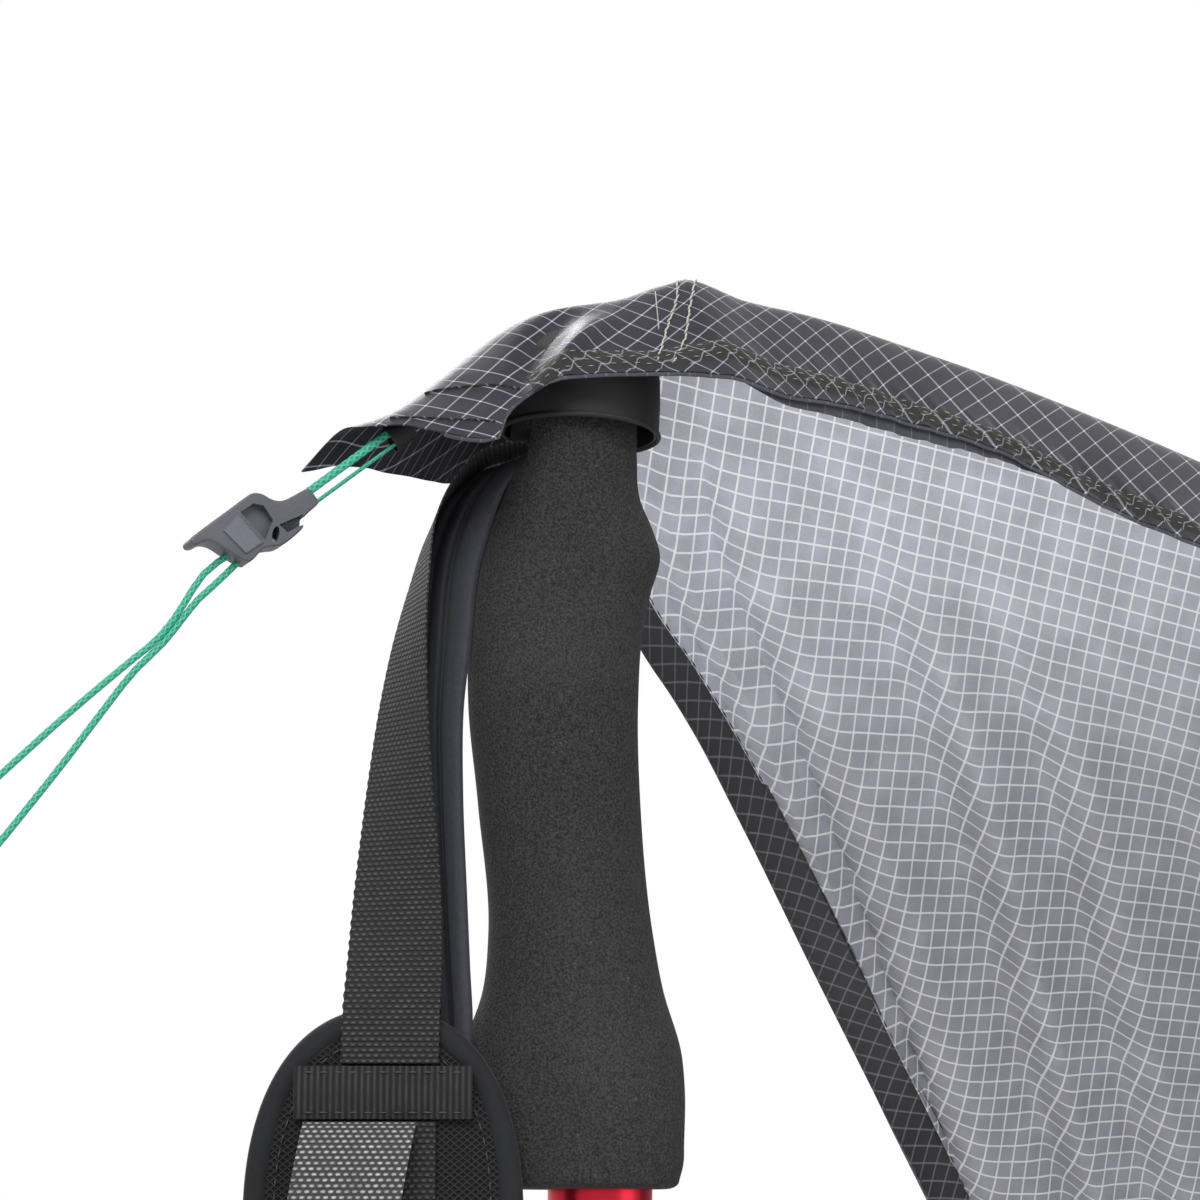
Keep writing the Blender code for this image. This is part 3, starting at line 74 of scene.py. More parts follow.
class TentCloth(bpy.types.PropertyGroup):
    """Sizes and colours of the canopy's cloth."""

    cell: length("Ripstop cell", "Distance between the thick threads", 0.0042)
    line: length("Thick thread", "Width of a thick thread", 0.00042)
    hood_cloth: length("Hood thickness", "Thickness of the doubled hood", 0.0009)
    wall_cloth: length("Wall thickness", "Thickness of the wall cloth", 0.0004)
    fold: length("Fold height", "Height of the folds beside the front hem", 0.0032)
    hood: colour("Hood colour", "Colour of the hood, its beak and the strip",
                 (0.030, 0.0298, 0.037))
    hood_line: colour("Hood thread", "Colour of the hood's thick threads",
                      (0.30, 0.31, 0.36))
    # The walls' colours are those under the painted light at the peak; lower down, painted shade
    # takes the cells to 0.37 and the threads to 0.59 of them.
    wall: colour("Wall colour", "Colour of the wall cloth", (0.74, 0.745, 0.885))
    wall_line: colour("Wall thread", "Colour of the wall's thick threads",
                      (0.97, 0.98, 1.0))
    hem: colour("Hem colour", "Colour of the doubled hems", (0.012, 0.0125, 0.016))
    thread: colour("Sewing thread", "Colour of the stitches", (0.42, 0.42, 0.36))
    band: colour("Band colour", "Colour of the pocket's band", (0.006, 0.006, 0.007))


class TentHandle(bpy.types.PropertyGroup):
    """Colours of the pole's handle and its wrist strap."""

    foam: colour("Foam", "Colour of the grip", (0.0180, 0.0180, 0.0178))
    webbing: colour("Webbing", "Colour of the strap's webbing", (0.0155, 0.0155, 0.0165))
    lining: colour("Lining", "Colour of the folded lining and the binding",
                   (0.031, 0.0325, 0.040))
    mesh: colour("Mesh", "Colour of the pad's spacer mesh", (0.0080, 0.0080, 0.0086))
    loop: colour("Loop", "Colour of the pad's grey loop", (0.16, 0.16, 0.16))
    red: colour("Red", "Colour of the upper tube and the collar", (0.55, 0.016, 0.035))
    grey: colour("Grey", "Colour of the lower tubes", (0.30, 0.30, 0.32))


class TentGear(bpy.types.PropertyGroup):
    """Sizes and colours of the guyline, its lock and the ground gear."""

    cord: colour("Cord", "Colour of the guyline", (0.040, 0.36, 0.235))
    plastic: colour("Plastic", "Colour of the moulded parts", (0.070, 0.073, 0.088))
    lever: colour("Lever", "Colour of the clamps' levers", (0.045, 0.046, 0.050))
    stake: colour("Stake", "Colour of the wire stakes", (0.46, 0.46, 0.48))
    cord_radius: length("Cord radius", "Half the guyline's diameter", 0.00068)


class TentStage(bpy.types.PropertyGroup):
    """The floor, the lights and the camera."""

    floor: colour("Floor", "Colour of the floor", (0.80, 0.80, 0.80))
    lens: FloatProperty(name="Lens", description="Focal length in millimetres",
                        default=108, min=10)
    key: FloatProperty(name="Key light", description="Power of the large lamp",
                       default=82, min=0)
    air: FloatProperty(name="Surroundings", description="Strength of the white room",
                       default=0.50, min=0)


GROUPS = {"tent_cloth": TentCloth, "tent_handle": TentHandle, "tent_gear": TentGear,
          "tent_stage": TentStage}


def settings(name):
    """One group of settings of the open scene."""
    return getattr(bpy.context.scene, name)


# ---------------------------------------------------------------- shader expressions

def maths(operation, back=False):
    """A method that adds one Math node; back puts the other value first."""
    def method(self, *others):
        values = (*others, self) if back else (self, *others)
        return self.nodes.node("ShaderNodeMath", {"operation": operation}, values)
    return method


class Value:
    """A shader socket. Arithmetic on it adds Math nodes to its tree."""

    def __init__(self, nodes, socket):
        self.nodes = nodes
        self.socket = socket

    __add__ = __radd__ = maths("ADD")
    __sub__, __rsub__ = maths("SUBTRACT"), maths("SUBTRACT", back=True)
    __mul__ = __rmul__ = maths("MULTIPLY")
    __truediv__, __rtruediv__ = maths("DIVIDE"), maths("DIVIDE", back=True)
    sine, size = maths("SINE"), maths("ABSOLUTE")
    part, floor = maths("FRACT"), maths("FLOOR")
    most, least = maths("MAXIMUM"), maths("MINIMUM")

    def ramp(self, low, high, first=0.0, last=1.0):
        """A smooth step from first to last as the value goes from low to high."""
        return self.nodes.node("ShaderNodeMapRange",
                               {"interpolation_type": "SMOOTHSTEP", "clamp": True},
                               (self, low, high, first, last))

    def beside(self, key):
        """Another output of the same node."""
        return Value(self.nodes, self.socket.node.outputs[key])


class Nodes:
    """A node tree with the one way to add a node to it."""

    def __init__(self, tree):
        self.tree = tree

    def node(self, kind, first=None, inputs=(), output=0):
        """A node with its settings set first, then the values or links of its sockets."""
        made = self.tree.nodes.new(kind)
        for key, value in (first or {}).items():
            setattr(made, key, value)
        pairs = inputs.items() if isinstance(inputs, dict) else enumerate(inputs)
        for key, value in pairs:
            if isinstance(value, Value):
                self.tree.links.new(value.socket, made.inputs[key])
            else:
                made.inputs[key].default_value = value
        return Value(self, made.outputs[output])


class Finish(Nodes):
    """One material: a Principled shader and the nodes that feed it."""

    def __init__(self, name, **constants):
        self.material = bpy.data.materials.new(name)
        self.material.use_nodes = True
        super().__init__(self.material.node_tree)
        self.shader = self.tree.nodes["Principled BSDF"]
        for key, value in constants.items():
            self.feed(key.replace("_", " ").title().replace("Ior", "IOR"), value)

    def feed(self, name, value):
        """Link or set one of the shader's sockets."""
        socket = self.shader.inputs[name]
        if isinstance(value, Value):
            self.tree.links.new(value.socket, socket)
        elif name in ("Base Color", "Emission Color") and len(value) == 3:
            socket.default_value = (*value, 1.0)
        else:
            socket.default_value = value

    def place(self, kind="Object"):
        """The coordinates of a piece: Object, or UV in metres."""
        return self.node("ShaderNodeTexCoord", output=kind)

    def axes(self, kind="UV"):
        """The separate coordinates of a piece."""
        parts = self.node("ShaderNodeSeparateXYZ", None, (self.place(kind),))
        return [parts.beside(k) for k in range(3)]

    def noise(self, scale, detail=2.0, kind="Object", rough=0.5):
        """Soft noise from 0 to 1."""
        return self.node("ShaderNodeTexNoise", None,
                         {"Vector": self.place(kind), "Scale": scale, "Detail": detail,
                          "Roughness": rough})

    def mix(self, share, first, second):
        """A colour between two colours."""
        first = first if isinstance(first, Value) else (*first, 1.0)
        second = second if isinstance(second, Value) else (*second, 1.0)
        return self.node("ShaderNodeMix", {"data_type": "RGBA"},
                         {0: share, 6: first, 7: second}, output=2)

    def tint(self, share, first, second):
        """Feed the base colour with a colour between two colours."""
        self.feed("Base Color", self.mix(share, first, second))

    def bump(self, height, distance, strength=1.0):
        """Raise the surface by a height from 0 to 1 times a distance in metres."""
        self.feed("Normal", self.node("ShaderNodeBump", None,
                                      {"Height": height, "Distance": distance,
                                       "Strength": strength}))


def shade(value, factor):
    """A colour made lighter or darker."""
    return tuple(min(1.0, c * factor) for c in value)


def to_line(value):
    """Distance from the nearest whole number."""
    return 0.5 - (value.part() - 0.5).size()


# The heights between which painted light makes the walls' cloth paler towards the peak,
# the pitch of the fine weave and how far a thick thread stands out.
LIT_HEIGHTS = (1.050, 1.182)
FINE_WEAVE, THREAD_RELIEF = 0.00032, 0.0001


def ripstop(name, base, thread, bias=False, rough=0.55, coat=0.0, knots=1.3,
            crinkle=0.0004, line=1.0, level=0.5, painted_glow=0.0):
    """Cloth with a grid of thick threads, straight or on the bias.

    A thick thread lies where the distance to the nearest whole number of cells is under
    half its width; where two cross there is a brighter knot. The fine weave is two sines
    at right angles, and crinkles are soft noise. A cloth given a glow carries painted
    light: over LIT_HEIGHTS it is painted paler upwards and darker downwards, as light falls
    off from the peak, and its threads glow a little, a painted glow in place of light
    through the cloth.
    """
    cloth = settings("tent_cloth")
    f = Finish(name, roughness=rough, coat_weight=coat, coat_roughness=0.14, coat_ior=1.35,
               specular_ior_level=level, emission_strength=1.0 if painted_glow else 0.0)
    u, v, _ = f.axes("UV")
    across = 1 / cloth.cell
    if bias:
        turned = across * math.sqrt(0.5)
        a, b = (u + v) * turned, (u - v) * turned
    else:
        a, b = u * across, v * across
    half = cloth.line * line / cloth.cell / 2
    first, second = (to_line(axis).ramp(half * 0.7, half * 1.5, 1.0, 0.0) for axis in (a, b))
    grid, knot = first.most(second), first * second
    worn = f.noise(90.0, 3.0, "UV")
    fine = f.noise(2600.0, 2.0, "UV")
    tone = f.mix(worn.ramp(0.35, 0.7), shade(base, 0.88), shade(base, 1.12))
    tone = f.mix(fine.ramp(0.3, 0.75) * 0.35, tone, shade(base, 1.5))
    line = f.mix(worn.ramp(0.3, 0.65), shade(thread, 0.86), thread)
    line = f.mix(knot, line, shade(thread, knots))
    # Painted light: away from the peak the cells and threads are painted darker as shade, and the
    # threads glow by emission as painted light.
    if painted_glow:
        near = f.axes("Object")[2].ramp(*LIT_HEIGHTS)
        near = near * near
        cells_lit, threads_lit = 0.37 + 0.63 * near, 0.59 + 0.41 * near
        tone, line = f.mix(cells_lit, BLACK, tone), f.mix(threads_lit, BLACK, line)
        f.feed("Emission Color", f.mix(grid * cells_lit, BLACK, shade(thread, painted_glow)))
    f.tint(grid * 0.92, tone, line)
    f.feed("Roughness", rough + (fine - 0.5) * 0.16 + grid * 0.12)
    weave = (u * (TURN / FINE_WEAVE)).sine() * (v * (TURN / FINE_WEAVE)).sine()
    wrinkle = f.noise(120.0, 3.0, "UV") * (crinkle / THREAD_RELIEF)
    f.bump(grid * 0.8 + knot * 0.5 + weave * 0.12 + fine * 0.25 + wrinkle, THREAD_RELIEF, 0.9)
    return f.material


def rolled_cloth(name, base, rough):
    """Plain doubled cloth with a fine weave, soft crinkles and worn, paler places."""
    f = Finish(name, roughness=rough)
    u, v, _ = f.axes("UV")
    weave = (u * (TURN / 0.0005)).sine() * (v * (TURN / 0.0005)).sine()
    fine = f.noise(1800.0, 2.0, "UV")
    soft = f.noise(60.0, 3.0, "UV")
    f.tint(soft.ramp(0.3, 0.7) * 0.5 + fine * 0.3, shade(base, 0.8), shade(base, 1.7))
    f.bump(weave * 0.4 + fine * 0.6 + soft * 3.0, 0.0001)
    return f.material


def webbing(name, base, pitch_along=0.00105, pitch_across=0.0015, bright=3.4, ribs=False):
    """Woven tape. Rows of knuckles follow each other along the tape, and each row is half
    a knuckle aside of the row before; ribs has one long knuckle across each row instead."""
    f = Finish(name, roughness=0.78)
    u, v, _ = f.axes("UV")
    along = v / pitch_along
    row = along.floor()
    shift = (row * 0.5).part()
    over = (along.part() * math.pi).sine()
    side = u / pitch_across + shift
    knuckle = (side.part() * math.pi).sine()
    height = over if ribs else over * (0.25 + 0.75 * knuckle)
    fibre = f.noise(3200.0, 2.0, "UV")
    worn = f.noise(260.0, 2.0, "UV").ramp(0.3, 0.7)
    # Painted shade and highlight: the gaps between knuckles are painted dark and the crowns pale,
    # varied by fibre and wear; bright sets how pale the crowns' painted highlight is.
    f.tint(height.ramp(0.45, 1.0) * (0.25 + 0.35 * fibre + 0.4 * worn),
           shade(base, 0.25), shade(base, bright * 1.5))
    f.bump(height + fibre * 0.25, 0.00045)
    return f.material


def lining_finish(name="folded_lining", depth=1.0):
    """Smooth, slightly napped cloth with soft pale patches."""
    base = shade(settings("tent_handle").lining, depth)
    f = Finish(name, roughness=0.85, sheen_weight=0.04, sheen_roughness=0.4,
               specular_ior_level=0.3)
    soft = f.noise(900.0, 3.0)
    patch = f.noise(70.0, 2.0)
    f.tint(soft * 0.6 + patch * 0.4, shade(base, 0.75), shade(base, 1.9))
    f.bump(soft, 0.00006)
    return f.material


def mesh_finish():
    """Spacer mesh: two slanting families of cords, the pits between them painted dark as shade."""
    base = settings("tent_handle").mesh
    f = Finish("spacer_mesh", roughness=0.8, specular_ior_level=0.2)
    u, v, _ = f.axes("UV")
    a = ((u * 0.8 + v) * (math.pi / 0.0013)).sine().size()
    b = ((u * 0.8 - v) * (math.pi / 0.0013)).sine().size()
    cords = a.least(b)
    fibre = f.noise(2400.0, 2.0, "UV")
    raised = 1 - cords.ramp(0.25, 0.85)
    # Painted shade: the pits are painted dark and the raised cords pale.
    f.tint(raised * (0.5 + 0.5 * fibre), shade(base, 0.25), shade(base, 3.6))
    f.bump(raised + fibre * 0.2, 0.00045)
    return f.material


def foam_finish():
    """Closed-cell foam: fine pits, pale specks and slightly shiny handled places."""
    base = settings("tent_handle").foam
    f = Finish("grip_foam_fine", roughness=0.9, sheen_weight=0.03, sheen_roughness=0.5,
               specular_ior_level=0.22)
    grain = f.noise(2200.0, 3.0, rough=0.65)
    cells = f.node("ShaderNodeTexVoronoi", None, {"Vector": f.place(), "Scale": 1500.0})
    specks = f.noise(1300.0, 1.0).ramp(0.70, 0.80)
    patch = f.noise(28.0, 3.0)
    tone = f.mix(grain.ramp(0.36, 0.64) * 0.75 + patch * 0.25, shade(base, 0.35),
                 shade(base, 2.6))
    f.tint(specks * 0.5, tone, shade(base, 6.0))
    f.feed("Roughness", 0.92 - patch.ramp(0.45, 0.7) * 0.14)
    f.bump(grain * 0.7 + cells * 0.5, 0.00022)
    return f.material


def metal(name, base, rough, brushed=0.0, metallic=1.0):
    """Metal with fine turning marks round the pole and a few dull scratches."""
    f = Finish(name, metallic=metallic)
    marks = f.node("ShaderNodeTexNoise", {"noise_dimensions": "1D"},
                   {"W": f.axes("Object")[2], "Scale": 5200.0, "Detail": 2.0})
    wear = f.noise(160.0, 4.0)
    scuff = f.noise(900.0, 2.0).ramp(0.62, 0.75) * wear.ramp(0.5, 0.65)
    f.tint(scuff * 0.5 + marks * brushed, base, shade(base, 1.35))
    f.feed("Roughness", rough + wear * 0.10 + scuff * 0.2)
    f.bump(marks * brushed + scuff * 0.3, 0.00004)
    return f.material


def plastic(name, base, rough):
    """Moulded plastic with a spark-eroded grain, paler on worn spots."""
    f = Finish(name, coat_weight=0.05)
    grain = f.noise(2600.0, 2.0)
    patch = f.noise(130.0, 3.0)
    f.tint(grain * 0.5 + patch * 0.5, shade(base, 0.72), shade(base, 1.35))
    f.feed("Roughness", rough + (grain - 0.5) * 0.2)
    f.bump(grain, 0.00006)
    return f.material


def rubber_finish():
    """Dull rubber with a powdery bloom."""
    f = Finish("foot_rubber", roughness=0.9)
    bloom = f.noise(120.0, 4.0)
    f.tint(bloom.ramp(0.4, 0.7), (0.014, 0.014, 0.014), (0.05, 0.05, 0.05))
    f.bump(f.noise(1500.0, 2.0), 0.0001)
    return f.material


def braid_finish():
    """Braided cord: two families of strands wind round it in opposite directions.

    With u round the cord in turns and v along it in metres, the strands are sines of
    u and v together, and the higher of the two shows.
    """
    base = settings("tent_gear").cord
    f = Finish("braided_cord", roughness=0.55)
    u, v, _ = f.axes("UV")
    a = ((u * 4 + v / 0.0017) * TURN).sine() * 0.5 + 0.5
    b = ((u * 4 - v / 0.0017) * TURN).sine() * 0.5 + 0.5
    height = a.most(b)
    gap = height.ramp(0.45, 0.95)
    fibre = f.noise(2500.0, 2.0)
    # Painted shade: the grooves between strands are painted darker and the strands' crowns paler.
    f.tint(gap * (0.6 + 0.4 * fibre), shade(base, 0.68), shade(base, 1.35))
    f.bump(height + fibre * 0.2, 0.00016)
    return f.material


def thread_finish(name, dark, pale):
    """Twisted sewing thread, paler and darker in places at random."""
    f = Finish(name, roughness=0.6)
    f.tint(f.noise(4200.0, 1.0), dark, pale)
    return f.material


FINISHES = {}


def finish(name):
    """A material by its plain name, made when it is first asked for."""
    if name not in FINISHES:
        cloth, handle, gear = (settings(key) for key in
                               ("tent_cloth", "tent_handle", "tent_gear"))
        makers = {
            "hood": lambda: ripstop("hood_ripstop", cloth.hood, cloth.hood_line, bias=True,
                                    rough=0.24, coat=0.15, knots=2.6, crinkle=0.00022,
                                    line=0.6, level=0.05),
            "seam": lambda: ripstop("seam_ripstop", (0.028, 0.029, 0.026),
                                    shade(cloth.hood_line, 0.75), bias=True, knots=1.8,
                                    crinkle=0.0005, line=0.7, level=0.1),
            # Dark cloth with straight grain, for the strip's edge roll and the dark band below it.
            "facing": lambda: ripstop("dark_band_ripstop", shade(cloth.hood, 2.0),
                                      shade(cloth.hood_line, 0.5), rough=0.6, knots=1.2,
                                      line=0.6, level=0.1),
            # The walls are given painted light: paler near the peak, painted shade lower down, and
            # glowing threads.
            "wall": lambda: ripstop("wall_ripstop", cloth.wall, cloth.wall_line, knots=1.05,
                                    crinkle=0.00012, painted_glow=0.31),
            "hem": lambda: ripstop("hem_ripstop", cloth.hem, shade(cloth.hood_line, 0.42),
                                   bias=True, coat=0.08, knots=1.5),
            "band": lambda: rolled_cloth("pocket_band_cloth", cloth.band, 0.6),
            "door": lambda: ripstop("door_ripstop", shade(cloth.wall, 0.38), cloth.wall_line,
                                    knots=1.05, crinkle=0.0003),
            "webbing": lambda: webbing("strap_weave", handle.webbing),
            "ribbon": lambda: webbing("ribbed_ribbon", shade(handle.webbing, 0.4), 0.0012, 0.0006,
                                      3.0, True),
            "loop": lambda: webbing("grey_loop_weave", handle.loop, 0.0011, 0.0015, 2.4),
            "ground_loop": lambda: webbing("ground_loop_weave", handle.webbing, 0.0009, 0.0012),
            "lining": lining_finish,
            "binding": lambda: lining_finish("pad_binding_cloth", 0.28),
            "mesh": mesh_finish,
            "foam": foam_finish,
            "red": lambda: metal("red_anodised_tube", handle.red, 0.24, 0.25, 0.85),
            "grey": lambda: metal("grey_anodised_tube", handle.grey, 0.30, 0.25),
            "steel": lambda: metal("plain_steel", (0.52, 0.52, 0.53), 0.28, 0.2),
            "stake": lambda: metal("stake_wire", gear.stake, 0.34, 0.1),
            "plastic": lambda: plastic("moulded_plastic", gear.plastic, 0.48),
            "plastic_worn": lambda: plastic("worn_plastic", shade(gear.plastic, 1.5), 0.40),
            "lever": lambda: plastic("lever_moulding", gear.lever, 0.36),
            "rubber": rubber_finish,
            "braid": braid_finish,
            "thread": lambda: thread_finish("sewing_thread", shade(cloth.thread, 0.6),
                                            shade(cloth.thread, 1.5)),
            "dark_thread": lambda: thread_finish("black_thread", (0.010, 0.010, 0.011),
                                                 (0.05, 0.05, 0.052)),
        }
        FINISHES[name] = makers[name]()
    return FINISHES[name]


# ---------------------------------------------------------------- surfaces from grids

def new_object(name, points, faces):
    """An object over points and faces, linked to the scene."""
    mesh = bpy.data.meshes.new(name)
    mesh.from_pydata(points.tolist(), [], faces)
    obj = bpy.data.objects.new(name, mesh)
    bpy.context.scene.collection.objects.link(obj)
    return obj


def surface(name, grid, look, around=False, uv=None, towards=None, caps=False,
            thickness=0.0, offset=-1.0, sharp=50):
    """An object from a grid of points, rows by columns by 3.

    around joins the last column to the first, caps closes the first and last rows, uv is
    rows by columns by 2 (one column more when around) in metres, and is the length along
    the columns and along the rows when it isn't given. A direction in towards, or the
    volume's sign, tells which way the faces look. A thickness is worked into the mesh.
    """
    grid = np.asarray(grid, float)
    rows, columns = grid.shape[:2]
    wide = columns + 1 if around else columns
    if uv is None:
        uv = arc_lengths(grid, around)
    row, column = np.meshgrid(np.arange(rows - 1), np.arange(wide - 1), indexing="ij")
    corners = np.stack([row * wide + column, row * wide + column + 1,
                        (row + 1) * wide + column + 1, (row + 1) * wide + column],
                       axis=-1).reshape(-1, 4)
    vertex = corners // wide * columns + corners % wide % columns
    points = grid.reshape(-1, 3)
    quads = points[vertex]
    spread = np.cross(quads[:, 2] - quads[:, 0], quads[:, 3] - quads[:, 1]) / 2
    middle = quads.mean(axis=1)
    if towards is not None:
        flip = (spread @ np.asarray(towards, float)).sum() < 0
    else:
        flip = ((middle - points.mean(axis=0)) * spread).sum() < 0
    if flip:
        vertex, corners = vertex[:, ::-1], corners[:, ::-1]
    faces = vertex.tolist()
    loops = corners.ravel().tolist()
    if caps:
        ends = [np.arange(columns)[::-1], (rows - 1) * columns + np.arange(columns)]
        for end in ends:
            end = end[::-1] if flip else end
            faces.append(end.tolist())
            loops += (end // columns * wide + end % columns).tolist()
    obj = new_object(name, points, faces)
    layer = obj.data.uv_layers.new(name="metres")
    layer.uv.foreach_set("vector", np.asarray(uv, float).reshape(-1, 2)[loops].ravel())
    if thickness:
        mod = obj.modifiers.new("thickness", "SOLIDIFY")
        mod.thickness, mod.offset, mod.use_even_offset = thickness, offset, True
        mod.thickness_clamp = 1.0
    return settle(obj, finish(look), sharp)


def settle(obj, material, sharp=50):
    """Work the modifiers into the mesh, smooth it and give it its material."""
    if obj.modifiers:
        bpy.context.view_layer.update()
        evaluated = obj.evaluated_get(bpy.context.evaluated_depsgraph_get())
        mesh = bpy.data.meshes.new_from_object(evaluated)
        obj.modifiers.clear()
        obj.data = mesh
    obj.data.shade_smooth()
    obj.data.set_sharp_from_angle(angle=math.radians(sharp))
    obj.data.materials.clear()
    obj.data.materials.append(material)
    return obj


def arc_lengths(grid, around=False):
    """Length along each row of columns and along each column of rows, from the first."""
    if around:
        grid = np.concatenate([grid, grid[:, :1]], axis=1)
    across = np.linalg.norm(np.diff(grid, axis=1), axis=2).mean(axis=0)
    along = np.linalg.norm(np.diff(grid, axis=0), axis=2).mean(axis=1)
    u = np.concatenate([[0], np.cumsum(across)])
    v = np.concatenate([[0], np.cumsum(along)])
    return np.stack(np.meshgrid(u, v), axis=-1)


def place_piece(obj, body="tent", replaces=()):
    """Let a piece ride on its body and stand for CAD nodes."""
    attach(obj, body)
    if replaces:
        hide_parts(*replaces)
    return obj


def eased(x, table):
    """Cubic curve through a table of places and values, level with its neighbours' slope."""
    xs, ys = np.asarray(table, float).T
    slopes = np.gradient(ys, xs)
    x = np.clip(x, xs[0], xs[-1])
    k = np.clip(np.searchsorted(xs, x) - 1, 0, len(xs) - 2)
    step = xs[k + 1] - xs[k]
    t = (x - xs[k]) / step
    return ((2 * t ** 3 - 3 * t ** 2 + 1) * ys[k] + (t ** 3 - 2 * t ** 2 + t) * step * slopes[k]
            + (3 * t ** 2 - 2 * t ** 3) * ys[k + 1] + (t ** 3 - t ** 2) * step * slopes[k + 1])


def step_between(x, low, high):
    """Smooth step from 0 to 1."""
    t = np.clip((x - low) / (high - low), 0, 1)
    return t * t * (3 - 2 * t)


def smooth_route(points, count):
    """Even steps along a Catmull-Rom curve through points."""
    points = np.asarray(points, float)
    held = np.vstack([2 * points[0] - points[1], points, 2 * points[-1] - points[-2]])
    t = np.linspace(0, 1, 24, endpoint=False)[None, :, None]
    a, b, c, d = (held[k:len(held) - 3 + k, None] for k in range(4))
    dense = 0.5 * (2 * b + (c - a) * t + (2 * a - 5 * b + 4 * c - d) * t ** 2
                   + (3 * b - a - 3 * c + d) * t ** 3)
    dense = np.vstack([dense.reshape(-1, points.shape[1]), points[-1:]])
    along = np.r_[0, np.cumsum(np.linalg.norm(np.diff(dense[:, :3], axis=0), axis=1))]
    places = np.linspace(0, along[-1], count)
    return np.stack([np.interp(places, along, column) for column in dense.T], axis=1)


def unit(vectors):
    """Vectors of length one."""
    return vectors / np.maximum(np.linalg.norm(vectors, axis=-1, keepdims=True), 1e-12)


def tube_grid(route, side, wide, high, sides=14):
    """Ovals of half sizes wide, in the direction nearest to side, and high along a route."""
    ahead = unit(np.gradient(route, axis=0))
    out = np.broadcast_to(np.asarray(side, float), route.shape)
    out = unit(out - ahead * (out * ahead).sum(axis=1, keepdims=True))
    angle = np.arange(sides) / sides * TURN
    wide, high = (np.broadcast_to(np.asarray(s, float), len(route))[:, None, None]
                  for s in (wide, high))
    return (route[:, None] + out[:, None] * wide * np.cos(angle)[None, :, None]
            + np.cross(ahead, out)[:, None] * high * np.sin(angle)[None, :, None])


def stitches(name, route, normal, pitch=0.0030, size=0.0021, thick=0.00022, look="thread",
             lean=0.0, body="tent", slot="hem_cloth"):
    """A row of stitches along a route: each is a small capsule that lies on the cloth.

    A capsule is five rings of six points; its rings' radii follow a half circle.
    """
    route, normal = np.asarray(route, float), np.asarray(normal, float)
    along = np.r_[0, np.cumsum(np.linalg.norm(np.diff(route, axis=0), axis=1))]
    count = max(int(along[-1] / pitch), 1)
    places = (np.arange(count) + 0.5) * along[-1] / count

    def at(table, shift=0.0):
        """A table's rows at the stitches' places along the route."""
        return np.stack([np.interp(places + shift, along, column) for column in table.T],
                        axis=1)

    centre = at(route)
    ahead = unit(at(route, pitch / 4) - at(route, -pitch / 4))
    if normal.ndim == 2:
        normal = at(normal)
    normal = unit(normal - ahead * (normal * ahead).sum(axis=1, keepdims=True))
    side = np.cross(ahead, normal)
    ahead = unit(ahead + side * lean)
    side = np.cross(ahead, normal)
    t = np.linspace(-1, 1, 5)
    girth = np.sqrt(np.maximum(1 - t ** 2, 0.02))
    arch = 0.8 * (1 - t ** 2)
    angle = np.arange(6) / 6 * TURN
    rings = (centre[:, None, None] + ahead[:, None, None] * (t * size / 2)[None, :, None, None]
             + side[:, None, None] * (thick * girth[:, None] * np.cos(angle))[None, :, :, None]
             + normal[:, None, None]
             * (thick * (girth[:, None] * np.sin(angle) + arch[:, None]))[None, :, :, None])
    points = rings.reshape(-1, 3)
    ring, k = np.meshgrid(np.arange(4), np.arange(6), indexing="ij")
    after = (k + 1) % 6
    faces = np.stack([ring * 6 + k, ring * 6 + after, (ring + 1) * 6 + after,
                      (ring + 1) * 6 + k], axis=-1).reshape(-1, 4)
    caps = np.array([[0, 5, 4, 3, 2, 1], [24, 25, 26, 27, 28, 29]])
    shift = (np.arange(count) * 30)[:, None, None]
    every = (faces[None] + shift).reshape(-1, 4).tolist()
    every += (caps[None] + shift).reshape(-1, 6).tolist()
    return place_piece(settle(new_object(name, points, every), finish(look), 80), body)


# ---------------------------------------------------------------- the pitched canopy

PEAK_X, PEAK_HEIGHT = 0.018, 1.2005
REAR_X, REAR_HEIGHT = 2.25, 0.70
FRONT_X, FRONT_Y, BACK_X, BACK_Y = 0.80, 0.90, 2.75, 0.50
HOOD_X, DOOR_X, DOOR_START = 0.20, 1.35, 0.060
BEAK_REACH, BEAK_DROP, STRIP, LAP = 0.071, 0.0343, 0.020, 0.014
SHEET = 0.0008

# Beak from the peak forwards: reach and drop as shares.
BEAK = np.array([
    (0.000, 0.000), (0.100, 0.035), (0.210, 0.110), (0.3099, 0.150), (0.375, 0.180),
    (0.494, 0.276), (0.560, 0.360), (0.640, 0.500), (0.754, 0.703), (0.849, 0.856),
    (0.930, 0.944), (1.000, 1.000), (1.100, 1.110)])

